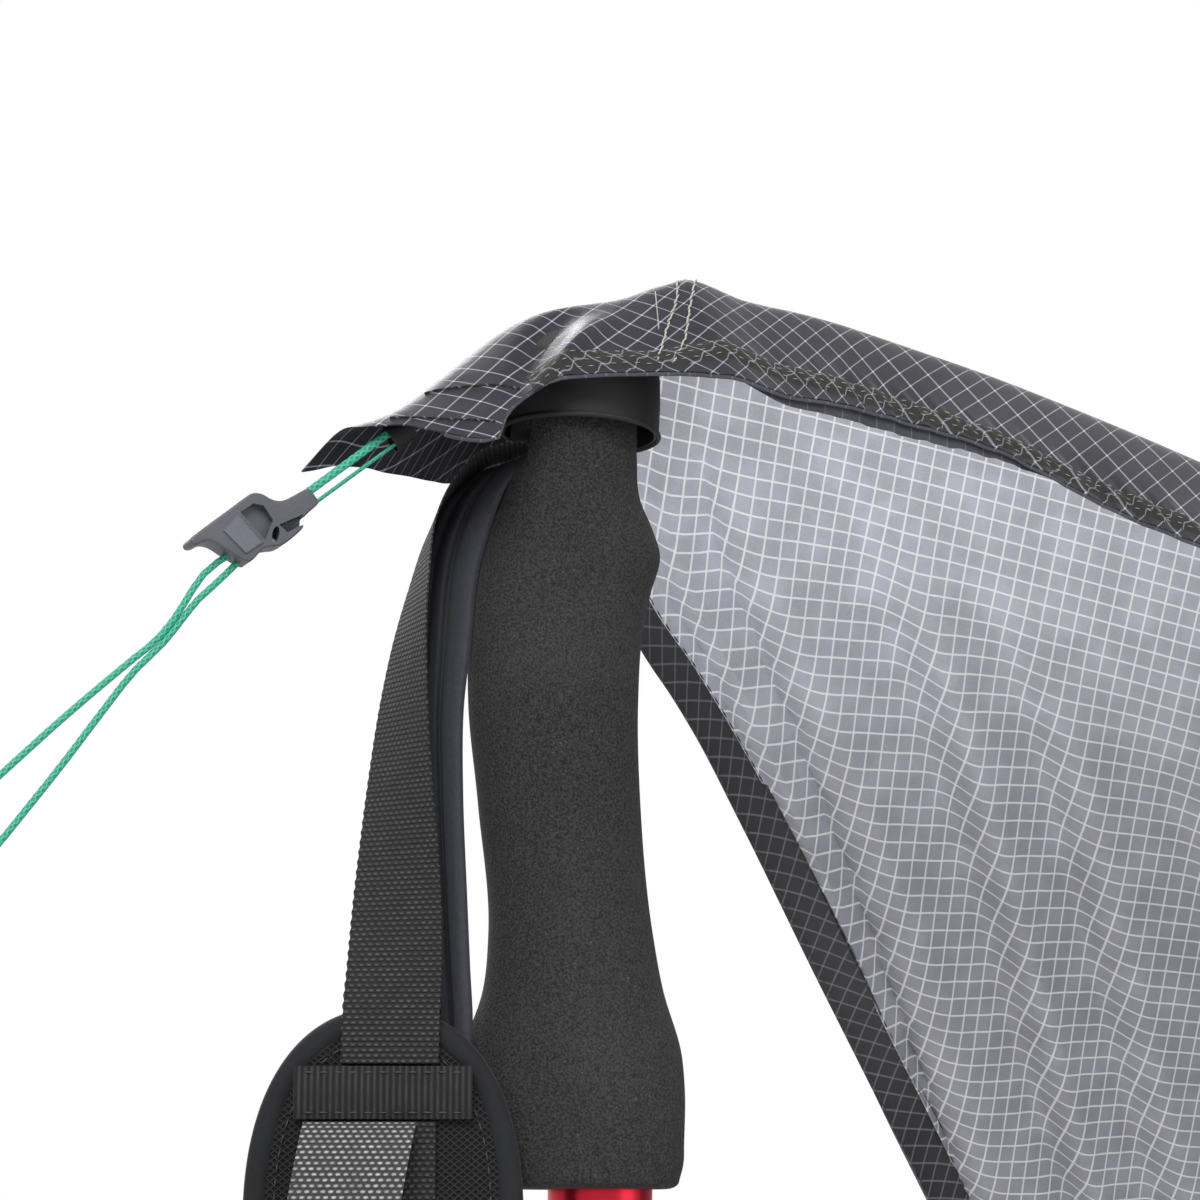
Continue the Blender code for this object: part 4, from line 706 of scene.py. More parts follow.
# How far the cloth's crest stands above the plain ridge line, and how wide the hood and
# the strip are on the door side, in millimetres by place along the ridge. A width below
# nought lies beyond the crest. The last table is the middle of the felled seam.
CREST_RISE = [(-0.060, 0.0), (-0.020, 0.0), (0.000, 0.2), (0.0087, 0.6), (0.0125, 1.1),
              (0.0170, 2.1), (0.0205, 2.8), (0.0245, 2.8), (0.0294, 2.5), (0.0351, 3.1),
              (0.0420, 4.2), (0.0490, 5.0), (0.0681, 6.0), (0.0858, 6.6), (0.1036, 6.5),
              (0.1218, 6.0), (0.137, 5.3), (0.200, 3.0), (0.300, 1.0), (0.450, 0.0),
              (3.0, 0.0)]
NEAR_WIDTH = [(-0.0602, -6.6), (-0.0565, -3.2), (-0.0545, -0.9), (-0.0524, 1.8),
              (-0.0479, 4.3), (-0.0428, 7.3),
              (-0.0393, 11.2), (-0.0359, 15.2), (-0.0334, 18.1), (-0.0303, 21.1),
              (-0.0290, 21.9), (-0.0276, 20.4), (-0.0263, 18.9), (-0.0232, 18.1),
              (-0.0191, 18.2), (-0.0151, 18.6), (-0.0072, 19.7), (0.0048, 21.4),
              (0.0121, 24.2), (0.0183, 26.6), (0.0237, 27.0), (0.0392, 25.9), (0.0565, 24.5),
              (0.0731, 25.1), (0.0850, 26.8), (0.1014, 28.5), (0.1192, 30.3)]
FAR_WIDTH = [(-0.0602, 6.9), (-0.0565, 7.9), (-0.0537, 8.4), (-0.0495, 9.5), (-0.0458, 10.8),
             (-0.0411, 13.5), (-0.0352, 17.4), (-0.0290, 21.9), (-0.0228, 25.8),
             (-0.0180, 26.2), (-0.0100, 24.5), (0.0000, 21.5), (0.0180, 17.3), (0.0276, 15.0),
             (0.0500, 14.3), (0.0637, 14.0), (0.0940, 13.4), (0.1300, 14.0), (3.0, 14.0)]
STRIP_OUT = [(0.101, 5.3), (0.119, 4.8), (0.200, 2.8), (0.350, 0.0), (3.0, 0.0)]
SEAM_LINE = [(-0.0210, 16.6), (-0.0151, 16.4), (-0.0084, 17.0), (-0.0018, 17.3), (0.0060, 18.9),
             (0.0138, 20.2), (0.0263, 21.2), (0.0392, 21.3), (0.0561, 21.4), (0.0733, 22.3),
             (0.0910, 24.1), (0.1236, 26.4), (0.2040, 38.0)]


def base_width(x):
    """Half the width on the ground."""
    return FRONT_Y + (BACK_Y - FRONT_Y) * (x - FRONT_X) / (BACK_X - FRONT_X)


def ridge_height(x):
    """Crest: the beak's curve in front of the peak, the sagging ridge behind it."""
    share = (x - PEAK_X) / (REAR_X - PEAK_X)
    behind = (PEAK_HEIGHT + (REAR_HEIGHT - PEAK_HEIGHT) * share
              - 0.12 * share * np.maximum(1 - share, 0))
    front = PEAK_HEIGHT - BEAK_DROP * eased((PEAK_X - x) / BEAK_REACH, BEAK)
    return np.where(x < PEAK_X, front, behind) + eased(x, CREST_RISE) / 1000


def canopy(x, y, sink=0.0):
    """Points of the outer cloth over plan points, sunk by a depth."""
    x, y = np.broadcast_arrays(np.asarray(x, float), np.asarray(y, float))
    rounded = np.hypot(y, 0.004) - 0.004
    whole = np.hypot(base_width(x), 0.004) - 0.004
    height = SHEET + (ridge_height(x) - SHEET) * (1 - rounded / whole)
    return np.stack([x, y, height - sink], axis=-1)


def door_edge(x):
    """Plan distance from the ridge to the hood's, the strip's and the door's edge."""
    share = np.maximum(x - DOOR_START, 0) / (DOOR_X - DOOR_START)
    start = STRIP * (0.96 + 0.04 * np.clip((x - PEAK_X) / (DOOR_START - PEAK_X), 0, 1))
    behind = start + (base_width(DOOR_X) - STRIP) * share ** 1.6 + eased(x, STRIP_OUT) / 1000
    return np.where(x < 0.1192, eased(x, NEAR_WIDTH) / 1000, behind)


def far_lap(x):
    """Plan distance from the ridge to the lap's edge on the far side."""
    return eased(x, FAR_WIDTH) / 1000


# How far the cloth of the rear and the near wall stops inside the panel's own edges.
REAR_INSET, NEAR_INSET = 0.0018, 0.0085


def rear_edge(fall):
    """Place along the ridge and half the width at a share down the rear wall."""
    return REAR_X + (BACK_X - REAR_X) * fall, 0.010 + (BACK_Y - 0.010) * fall


# The far wall's own directions: level and up its slope.
FAR_LEVEL = unit(np.array([0.9866, -0.1209, -0.1098]))
FAR_SLOPE = unit(np.array([0.0270, -0.6610, 0.7499]))


def wall_uv(points, mirrored=False):
    """Place in the cloth's own threads: the plane's two directions, sheared by the pull
    of the pitch, as u = level + 0.13 slope and v = slope + 0.08 level."""
    points = np.asarray(points, float).copy()
    if mirrored:
        points[..., 1] *= -1
    level, slope = points @ FAR_LEVEL, points @ FAR_SLOPE
    return np.stack([level * 1.09 + slope * 0.13, slope + level * 0.08], axis=-1)


# How far the front hem's two edges swing forwards, in millimetres by place down the wall,
# and the hem's inner edge as a share along the ridge.
HEM_OUTER = [(0.0, 0.0), (0.020, -5.5), (0.034, -9.0), (0.0414, -8.9), (0.0475, -7.6),
             (0.0555, -6.5), (0.068, -6.0), (0.084, -5.2), (0.100, -4.2), (0.118, -2.8),
             (0.132, -1.2), (0.170, 0.0), (1.0, 0.0)]
HEM_INNER = [(0.0, 0.0), (0.012, -7.0), (0.026, -15.0), (0.0376, -17.6), (0.047, -15.3),
             (0.0578, -13.3), (0.0713, -11.2), (0.0852, -9.4), (0.105, -7.6), (0.124, -5.6),
             (0.136, -4.9), (0.170, -3.4), (0.250, 0.0), (1.0, 0.0)]
HEM_SHARE = 0.0051


def far_plan(along, down):
    """Plan point of the far wall, along the ridge 0..1 and down the wall 0..1."""
    top_x = -0.004 + (REAR_X + 0.004) * along
    foot_x = FRONT_X + (BACK_X - FRONT_X) * along
    top_y = 0.0105 + 0.014 * np.clip(1 - (top_x + 0.004) / 0.024, 0, 1)
    foot_y = base_width(foot_x)
    bow = 0.075 * 4 * down * (1 - down) * (1 - along) ** 2
    outer, inner = eased(down, HEM_OUTER) / 1000, eased(down, HEM_INNER) / 1000
    pull = outer + (inner - outer) * np.clip(along / HEM_SHARE, 0, 1)
    bow = bow + pull * np.exp(-np.maximum(along - HEM_SHARE, 0) / 0.024)
    return top_x + (foot_x - top_x) * down + bow, top_y + (foot_y - top_y) * down


# Folds beside the front hem: where each starts along the ridge, how fast it nears the
# hem on its way down, its height as a share, and where down the wall it begins.
FOLDS = [(-0.0050, 0.000, 0.0, 0.00), (0.0056, 0.050, 0.45, 0.000), (0.0082, 0.040, 0.55, 0.004),
         (0.0131, 0.060, 0.95, 0.004), (0.0305, 0.106, 1.00, 0.012), (0.0425, 0.110, 0.75, 0.020),
         (0.0590, 0.120, 0.55, 0.030), (0.0800, 0.130, 0.40, 0.040), (0.1100, 0.130, 0.25, 0.050),
         (0.1600, 0.130, 0.0, 0.060)]


def fold_height(along, down):
    """Waves across the folds: a sine that falls through nought at each fold's line,
    steepened by its octave, as high as the fold's share says."""
    fold = np.asarray(FOLDS)
    near = np.minimum(down, 0.13)
    lines = fold[:, 0] - fold[:, 1] * near[..., None]
    lines = np.maximum.accumulate(lines + np.arange(len(fold)) * 1e-5, axis=-1)
    k = np.clip((along[..., None] > lines).sum(axis=-1) - 1, 0, len(fold) - 2)
    low = np.take_along_axis(lines, k[..., None], -1)[..., 0]
    high = np.take_along_axis(lines, k[..., None] + 1, -1)[..., 0]
    t = np.clip((along - low) / np.maximum(high - low, 1e-6), 0, 1)
    share = fold[k, 2] + (fold[k + 1, 2] - fold[k, 2]) * t
    begin = fold[k, 3] + (fold[k + 1, 3] - fold[k, 3]) * t
    wave = np.sin(TURN * t) + 0.22 * np.sin(2 * TURN * t)
    grown = step_between(down, begin, begin + 0.035) * (1 - step_between(down, 0.25, 0.7))
    return -settings("tent_cloth").fold * wave * share * grown


def slow_fold(along, down):
    """The wall's wide folds further down, as the frame has them."""
    fade = np.sin(math.pi * np.minimum(down * 1.15, 1)) * np.exp(-3.2 * along)
    edge = 1 - np.exp(-60 * along)
    whole = 0.007 * fade * edge * np.sin(TURN * 3.4 * np.sqrt(np.maximum(along, 0)))
    return whole * step_between(down, 0.10, 0.30)


def far_points(along, down, sink=0.0):
    """Grid of the far wall's outer side, with its folds."""
    down, along = np.meshgrid(down, along, indexing="ij")
    x, y = far_plan(along, down)
    points = canopy(x, y, slow_fold(along, down) + sink)
    lift = fold_height(along, down)
    return points + lift[..., None] * np.array([0.163, 0.740, 0.650])


# The way out of the cloth on the hood's near side.
HOOD_OUT = np.array([0.0, -0.70, 0.71])


def hood_at(x, y):
    """Outer side of the hood over plan points.

    To the plain canopy come the valley behind the beak, which runs along a slanting line,
    the brow beside it, the puckers along the felled seam and the strip's slow waves.
    """
    points = canopy(x, y)
    edge = y + door_edge(x)
    near = step_between(-y, 0.0, 0.009)
    off = (y + 0.0058 - 0.86 * (x + 0.0106)) / 1.32
    run = step_between(x, -0.031, -0.016) * (1 - step_between(x, -0.012, 0.003))
    valley = 0.0014 * np.exp(-(off / 0.0034) ** 2) * run
    brow = 0.0021 * np.exp(-((off + 0.0058) / 0.0030) ** 2 - ((y + 0.0125) / 0.0055) ** 2)
    seam = edge - door_edge(x) + eased(x, SEAM_LINE) / 1000
    ripple = 0.00028 * np.sin(TURN * x / 0.0083 + 300 * seam) \
        + 0.00018 * np.sin(TURN * x / 0.0037 + 620 * seam)
    pucker = ripple * np.exp(-(seam / 0.0038) ** 2) * (0.3 + 0.7 * step_between(x, 0.02, 0.05))
    wave = 0.0007 * np.sin(TURN * (x - 0.02) / 0.047) * np.exp(-(edge / 0.008) ** 2) \
        * step_between(x, 0.02, 0.05)
    lift = near * (brow - valley + pucker + wave)
    return points + lift[..., None] * HOOD_OUT


def hood_line(plan, count, lift=0.0, wobble=0.0):
    """Points along a smooth line through plan points on the hood, lifted off the cloth."""
    x, y = smooth_route(np.array(plan), count).T
    return hood_at(x + wobble * np.sin(np.arange(count) * 0.9), y) + HOOD_OUT * lift


def hood_points(x, share):
    """Grid of the hood: x along the crest, share from the near edge 0 to the far lap 1."""
    x, share = np.meshgrid(x, share, indexing="ij")
    near, far = door_edge(x), far_lap(x)
    return hood_at(x, (near + far) * share - near)


def hood_uv(points):
    """Place in the hood's cloth: x, and the distance from the crest at the same x less the
    crest's height, so that the grain stays level where the crest rises and falls. Along
    the strip the cloth is pulled aslant: the first grows with the way down from the crest."""
    x, y, z = np.moveaxis(points, -1, 0)
    crest = ridge_height(x)
    fall = -np.sign(y) * np.hypot(y, crest - z)
    strip = step_between(x, 0.012, 0.060)
    return np.stack([x + 0.46 * strip * fall,
                     fall * (1 - 0.31 * strip) - crest + 0.08 * strip * (x - 0.012)], axis=-1)


def raised_line(name, route, wide, high, look="seam"):
    """A thin folded edge: an oval of half sizes wide and high along a route."""
    grid = tube_grid(smooth_route(route, 90), (0, -1, -1), high, wide, 8)
    return place_piece(surface(name, grid, look, around=True, caps=True))


class TENT_OT_hood(bpy.types.Operator):
    """Doubled hood over the pole's head: beak, crest, strip, its seams and stitches"""

    bl_idname = "tent.hood"
    bl_label = "Hood and beak"

    def execute(self, context):
        cloth = settings("tent_cloth")
        x = np.r_[np.linspace(-0.0602, -0.0180, 110), np.linspace(-0.0180, 0.13, 210)[1:],
                  np.linspace(0.13, HOOD_X + 0.004, 60)[1:]]
        points = hood_points(x, np.linspace(0, 1, 84))
        hood = surface("hood_cloth", points, "hood", uv=hood_uv(points), towards=(0, 0, 1),
                       thickness=cloth.hood_cloth)
        place_piece(hood, replaces=("peak_hood",))
        up = HOOD_OUT
        edge = hood_points(x[60:], np.array([0.0]))[:, 0] + [0, 0.0003, -0.0005]
        pieces = [raised_line("strip_edge_roll", edge, 0.00038, 0.0005, "facing")]
        place = np.linspace(-0.0205, HOOD_X, 330)[:, None]
        bulge = np.linspace(-1, 1, 11)[None]
        middle = eased(place, SEAM_LINE) / 1000
        band = hood_at(place + 0 * bulge, bulge * 0.0022 - middle)
        uv = hood_uv(band)
        rough = 1 + 0.18 * np.sin(TURN * place / 0.0027 + 3 * bulge) \
            + 0.15 * np.sin(TURN * place / 0.0061 - 4 * bulge)
        band = band + (0.00045 * (1 - bulge ** 2) * rough)[..., None] * up
        uv += 0.0003 * np.sin(TURN * place / 0.0043 + 2 * bulge)[..., None]
        seam = surface("strip_felled_seam", band, "seam", uv=uv, towards=up, thickness=0.0003)
        pieces.append(place_piece(seam))
        for row, (column, lean) in enumerate(((2, 0.06), (5, -0.05), (8, 0.05))):
            pieces.append(stitches(f"strip_stitches_{row + 1}", band[:, column] + up * 0.0002, up,
                                   0.0024, 0.0012, 0.00006, lean=lean))
        rows = {"front": [(0.0160, -0.0014), (0.0157, -0.0028), (0.0143, -0.0064),
                          (0.0126, -0.0091), (0.0104, -0.0119), (0.0076, -0.0158),
                          (0.0050, -0.0192)],
                "back": [(0.0203, -0.0014), (0.0187, -0.0047), (0.0158, -0.0097),
                         (0.0136, -0.0137), (0.0120, -0.0165), (0.0098, -0.0189),
                         (0.0079, -0.0206)]}
        for label, plan in rows.items():
            line = hood_line(plan, 60, 0.0001, 0.00012)
            pieces.append(stitches(f"peak_stitches_{label}", line, up, 0.0017, 0.0024, 0.00022,
                                   lean=0.15))
        line = hood_line([(0.0107, -0.0034), (0.0092, -0.0084), (0.0079, -0.0127)], 30)
        pieces.append(raised_line("peak_thread", line, 0.00018, 0.00012, "thread"))
        lines = {"beak_seam_edge": [(-0.0378, -0.0026), (-0.0340, -0.0058), (-0.0304, -0.0089),
                                    (-0.0262, -0.0126), (-0.0225, -0.0161)],
                 "beak_hem_edge": [(-0.0452, -0.0036), (-0.0422, -0.0058), (-0.0388, -0.0089),
                                   (-0.0355, -0.0122), (-0.0318, -0.0158), (-0.0285, -0.0190)]}
        for label, plan in lines.items():
            pieces.append(raised_line(label, hood_line(plan, 40, 0.00005), 0.00035, 0.00022))
        # A dark band of cloth with the walls' grain hangs below the strip's edge.
        start, long = 0.020, 0.0675
        place = np.linspace(start, start + long, 120)[:, None]
        hang = np.linspace(0, 1, 5)[None]
        drop = 0.0026 * np.sin(math.pi * (place - start) / long) ** 0.7
        outer = hood_at(place + 0 * hang, -door_edge(place) + 0 * hang)
        facing = outer + hang[..., None] * drop[..., None] * np.array([0.12, 0.05, -1.0]) \
            + np.array([0, 0.0009, -0.0004])
        inner = surface("strip_dark_band", facing, "facing", uv=wall_uv(facing), towards=(0, -1, 0.2),
                        thickness=0.0004)
        pieces.append(place_piece(inner))
        return {"FINISHED"}


class TENT_OT_walls(bpy.types.Operator):
    """Far, near and rear walls of ripstop cloth, with their folds"""

    bl_idname = "tent.walls"
    bl_label = "Walls"

    def execute(self, context):
        thin = settings("tent_cloth").wall_cloth
        start, end, dense = 0.0046, 0.9991, 0.0700
        along = start + (end - start) * np.r_[
            np.linspace(0, dense, 110), dense + (1 - dense) * np.linspace(0, 1, 55)[1:] ** 1.5]
        top, low = 0.16, 1 - 0.0156
        down = np.r_[np.linspace(0, top, 120),
                     top + (low - top) * np.linspace(0, 1, 70)[1:] ** 1.25]
        points = far_points(along, down, 0.0003)
        far = surface("far_wall_cloth", points, "wall", uv=wall_uv(points), towards=(0, 1, 1),
                      thickness=thin)
        place_piece(far, replaces=("far_wall",))

        span = np.linspace(HOOD_X - 0.006, BACK_X - 0.002, 170)
        share = np.linspace(0, 1, 70)
        edge, fall = np.meshgrid(span, share)
        top_x = HOOD_X + (REAR_X - HOOD_X) * (edge - HOOD_X) / (BACK_X - HOOD_X)
        low_y = np.where(edge <= DOOR_X, door_edge(edge), base_width(edge)) - NEAR_INSET
        x = top_x + (edge - top_x) * fall
        y = -(NEAR_INSET + (low_y - NEAR_INSET) * fall)
        pull = 0.0016 * np.sin(TURN * (edge - 0.2) / 0.34) * np.sin(math.pi * fall) ** 1.2 \
            * step_between(edge, 0.35, 0.7)
        points = canopy(x, y, 0.0003) + pull[..., None] * np.array([0.1, -0.65, 0.75])
        near = surface("near_wall_cloth", points, "wall", uv=wall_uv(points, True),
                       towards=(0, -1, 1), thickness=thin)
        place_piece(near, replaces=("near_wall",))

        fall, side = np.meshgrid(np.linspace(0.004, 1 - 0.0285, 60), np.linspace(-1, 1, 90),
                                 indexing="ij")
        x, y = rear_edge(fall)
        height = canopy(x, y)[..., 2]
        pull = 0.0022 * np.cos(side * math.pi * 3) * np.sin(math.pi * fall) * (1 - side ** 2)
        points = np.stack([x + pull, (y - REAR_INSET) * side, height + pull * 0.7], axis=-1)
        uv = np.stack([points[..., 1], np.hypot(x - REAR_X, REAR_HEIGHT - height)], axis=-1)
        rear = surface("rear_wall_cloth", points, "wall", uv=uv, towards=(1, 0, 1),
                       thickness=thin)
        place_piece(rear, replaces=("rear_wall",))
        return {"FINISHED"}


# Pitch, length and thickness of the stitches along hems and ridge, those of the dark front
# hem, how far a hem's middle stands up, and the ridge binding's half width on its near side.
HEM_STITCH = (0.0040, 0.0028, 0.00016)
DARK_STITCH = (0.0040, 0.0027, 0.00016, "dark_thread")
HEM_CROWN, NEAR_LAP = 0.0004, 0.0105


def strip(name, outer, inner, node, thickness=0.0009, towards=(0, 1, 1), lift=0.0):
    """A hem: a narrow strip between two lines, crowned across by half a sine wave."""
    t = np.linspace(0, 1, 9)[None, :, None]
    points = outer[:, None] * (1 - t) + inner[:, None] * t
    out = unit(np.asarray(towards, float))
    points = points + (HEM_CROWN * np.sin(math.pi * t) + lift) * out
    hem = surface(name, points, "hem", towards=towards, thickness=thickness)
    place_piece(hem, replaces=(node,))


class TENT_OT_hems(bpy.types.Operator):
    """Dark hems round the panels, the ridge seam and their stitches"""

    bl_idname = "tent.hems"
    bl_label = "Hems and seams"

    def execute(self, context):
        down = np.linspace(0.0, 1, 420) ** 1.25
        grid = far_points(np.array([0.0, HEM_SHARE]), down)
        strip("front_hem_fold", grid[:, 0], grid[:, 1], "far_front_hem", 0.0016, lift=0.0004)
        inward = np.array([0.0, -1.0, -1.0])
        for label, first, second in (("in", 0.08, 0.92), ("out", 0.92, 0.08)):
            line = (grid[:, 0] * first + grid[:, 1] * second) + unit(inward) * 0.0016
            stitches(f"front_hem_stitches_{label}", line, inward, *DARK_STITCH)

        along = np.linspace(0.0006, 0.9990, 260)
        grid = far_points(along, np.array([1.0, 1 - 0.0160]))
        strip("far_ground_hem", grid[0], grid[1], "far_base_hem")

        x = np.linspace(HOOD_X - 0.002, REAR_X + 0.0005, 320)
        place, t = np.meshgrid(x, np.linspace(-1, 1, 17), indexing="ij")
        points = canopy(place, t * np.where(t > 0, LAP - 0.001, NEAR_LAP)) + [0, 0, 0.0002]
        ridge = surface("ridge_binding", points, "hem", uv=hood_uv(points), towards=(0, 0, 1),
                        thickness=0.0010)
        place_piece(ridge, replaces=("ridge_seam",))
        for label, side, normal in (("far", 0.80, (0, 0.7, 0.7)), ("near", -0.80, (0, -0.7, 0.7))):
            line = canopy(x, side * (LAP - 0.001 if side > 0 else NEAR_LAP)) + [0, 0, 0.0003]
            stitches(f"ridge_stitches_{label}", line, normal, *HEM_STITCH)

        edge = np.linspace(HOOD_X - 0.004, DOOR_X, 300)
        width = 0.0095 + 0.008 * (1 - step_between(edge, HOOD_X, 0.42))
        outer = canopy(edge, -door_edge(edge))
        inner = canopy(edge, -(door_edge(edge) - width))
        strip("door_edge_fold", outer, inner, "door_edge_hem", 0.0012, (0, -1, 1), 0.0003)
        stitches("door_edge_stitches", inner * 0.88 + outer * 0.12
                 + unit(np.array([0, -1.0, 1.0])) * 0.0006, (0, -1, 1), *HEM_STITCH)

        edge = np.linspace(DOOR_X, BACK_X - 0.002, 150)
        outer = canopy(edge, -base_width(edge))
        inner = canopy(edge, -(base_width(edge) - 0.0095))
        strip("near_ground_hem", outer, inner, "near_base_hem", towards=(0, -1, 1))

        side = np.linspace(-1, 1, 160)
        rows = []
        for fall in (1.0, 1 - 0.0290):
            x, y = rear_edge(fall)
            rows.append(np.stack([np.full_like(side, x), (y - REAR_INSET) * side,
                                  np.full_like(side, float(canopy(x, y)[2]))], axis=-1))
        strip("rear_ground_hem", *rows, "rear_base_hem", towards=(1, 0, 1))
        return {"FINISHED"}


# ---------------------------------------------------------------- handle and strap

YAW = math.radians(-20)
PALM = -np.array([math.cos(YAW), math.sin(YAW), 0.0])
DOOR = -np.array([-math.sin(YAW), math.cos(YAW), 0.0])
HEAD_HEIGHT, GRIP_LENGTH = 1.171077, 0.157
HEAD_RADIUS, HEAD_DEPTH, HEAD_SHIFT, GRIP_DEPTH = 0.0126, 0.0130, 0.0052, 0.0160
PAD_SHIFT, PAD_FORWARD, PAD_HALF, WEB_FALL, WEB_CLOTH = 0.0412, 0.0158, 0.0026, 0.1290, 0.0014

# Grip from the head down: depth, shift to the palm, half width and half depth as shares.
GRIP = [(0.000, 0.413, 1.000, 0.812), (0.045, 0.450, 1.040, 0.820),
        (0.100, 0.510, 1.150, 0.850), (0.140, 0.500, 1.340, 0.890),
        (0.170, 0.489, 1.441, 0.910), (0.225, 0.623, 1.417, 0.920),
        (0.270, 0.698, 1.381, 0.920), (0.360, 0.740, 1.345, 0.920),
        (0.490, 0.643, 1.278, 0.900), (0.655, 0.460, 1.286, 0.900),
        (0.725, 0.421, 1.405, 0.925), (0.805, 0.437, 1.706, 0.975),
        (0.850, 0.437, 1.754, 1.000), (0.915, 0.341, 1.643, 0.980),
        (0.940, 0.270, 1.560, 0.980), (0.960, 0.215, 1.440, 0.975)]
GRIP_END, GRIP_ROUND, FOOT_DROP = 0.9603, 0.0026, 0.0102
BORE_RADIUS, BORE_TOP, COLLAR_TOP, COLLAR_OUT = 0.0093, 1.0601, 1.0192, 0.0102
# The strap's slot: its size, how far its middle lies inside the head's side and below its top.
SLOT_SIZE, SLOT_IN, SLOT_DROP = (0.0170, 0.0200, 0.0086), 0.0005, 0.0068
# Strands from the slot to the pad: out to the palm, to the door, fall and quarter turns.
WEB = [(0.265, 0.01, 0.060, 0.00), (0.520, 0.03, 0.107, 0.05), (0.690, 0.06, 0.172, 0.09),
       (0.785, 0.11, 0.256, 0.17), (0.850, 0.19, 0.335, 0.25), (0.885, 0.26, 0.409, 0.33),
       (0.908, 0.34, 0.481, 0.40), (0.918, 0.49, 0.589, 0.52), (0.914, 0.61, 0.667, 0.63),
       (0.915, 0.78, 0.771, 0.78), (0.923, 0.93, 0.860, 0.90), (0.940, 1.00, 0.922, 1.00),
       (0.949, 1.00, 1.000, 1.00)]
# Lining of the strap, in millimetres: its drop from the head, its left and right edges to
# the palm side, and how far to the door its left and right edges are. Then its folds: the
# share from left to right and how far the cloth stands out.
LINING = [(6.6, 18.0, 12.0, -8.0, 5.0), (7.4, 22.0, 13.0, -8.0, 6.0),
          (9.0, 25.6, 14.4, -7.8, 7.4), (12.0, 28.8, 17.0, -7.4, 7.8),
          (16.0, 32.0, 19.4, -6.8, 7.8), (24.0, 35.2, 22.2, -6.0, 6.8),
          (33.0, 36.4, 24.4, -5.0, 6.2), (46.0, 37.0, 25.6, -4.0, 6.4),
          (60.0, 37.0, 27.0, -2.5, 6.8), (77.0, 36.2, 26.9, 0.0, 8.0),
          (96.0, 35.0, 26.0, 3.0, 9.2), (110.0, 34.0, 25.3, 5.0, 10.0),
          (121.0, 33.0, 24.7, 6.2, 10.6), (130.0, 33.0, 25.2, 6.8, 10.8)]
LINING_FOLDS = [(0.0, 0.0), (0.12, 0.5), (0.24, -0.9), (0.34, 0.6), (0.42, 0.9), (0.50, -1.0),
                (0.56, -1.3), (0.64, 0.9), (0.74, 1.6), (0.86, 1.5), (0.94, 0.9), (1.0, -0.4)]


def handle(palm, door, height):
    """Points from the handle's own directions: to the palm, to the door and up."""
    palm, door, height = np.broadcast_arrays(palm, door, height)
    return palm[..., None] * PALM + door[..., None] * DOOR + height[..., None] * UP


def box_object(name, size, centre, turn=0.0, soft=0.0):
    """A block with bevelled edges, as a cutter or a small part."""
    corners = np.array([[i, j, k] for i in (-0.5, 0.5) for j in (-0.5, 0.5)
                        for k in (-0.5, 0.5)]) * size
    c, s = math.cos(turn), math.sin(turn)
    corners = corners @ np.array([[c, s, 0], [-s, c, 0], [0, 0, 1]]) + centre
    faces = [(0, 1, 3, 2), (4, 6, 7, 5), (0, 4, 5, 1), (2, 3, 7, 6), (0, 2, 6, 4), (1, 5, 7, 3)]
    obj = new_object(name, corners, faces)
    if soft:
        bevel = obj.modifiers.new("soft", "BEVEL")
        bevel.width, bevel.segments = soft, 3
    return obj


def cut(obj, cutter):
    """Take a cutter's volume out of an object and remove the cutter."""
    tool = obj.modifiers.new("cut", "BOOLEAN")
    tool.operation, tool.solver, tool.object = "DIFFERENCE", "EXACT", cutter
    settle(obj, obj.data.materials[0], 40)
    bpy.data.objects.remove(cutter)


def strand_rows(table, drop, width, across, count):
    """Cloth along a strand's route, rows across it turned as the route says."""
    mouth = HEAD_SHIFT + HEAD_RADIUS
    face = PAD_FORWARD + PAD_HALF + 0.0003 + WEB_CLOTH / 2
    out, door, fall, twist = np.asarray(table).T
    route = np.stack([mouth + (PAD_SHIFT - mouth) * out, face * door, WEB_FALL * fall, twist],
                     axis=1)
    first = np.array([(0.0139, 0, drop, 0), (mouth, 0, drop, 0)])
    route = smooth_route(np.vstack([first, route]), count)
    angle = -route[:, 3:] * math.pi / 2
    across = np.asarray(across)[None, :] * width
    palm = route[:, :1] - across * np.sin(angle)
    side = route[:, 1:2] - across * np.cos(angle)
    return handle(palm, side, HEAD_HEIGHT - route[:, 2:3] + 0 * across), route


def pad_outline(inset, forward, count=96):
    """Oval of the pad's outline, moved in by an inset, as far forward as asked."""
    angle = np.arange(count) / count * TURN
    c, s = np.cos(angle), np.sin(angle)
    wide = np.sign(c) * np.abs(c) ** 0.88 * (0.0264 - inset)
    high = np.sign(s) * np.abs(s) ** 0.88 * (0.0400 - inset)
    return handle(PAD_SHIFT + wide, PAD_FORWARD + forward, HEAD_HEIGHT - 0.1585 + high)


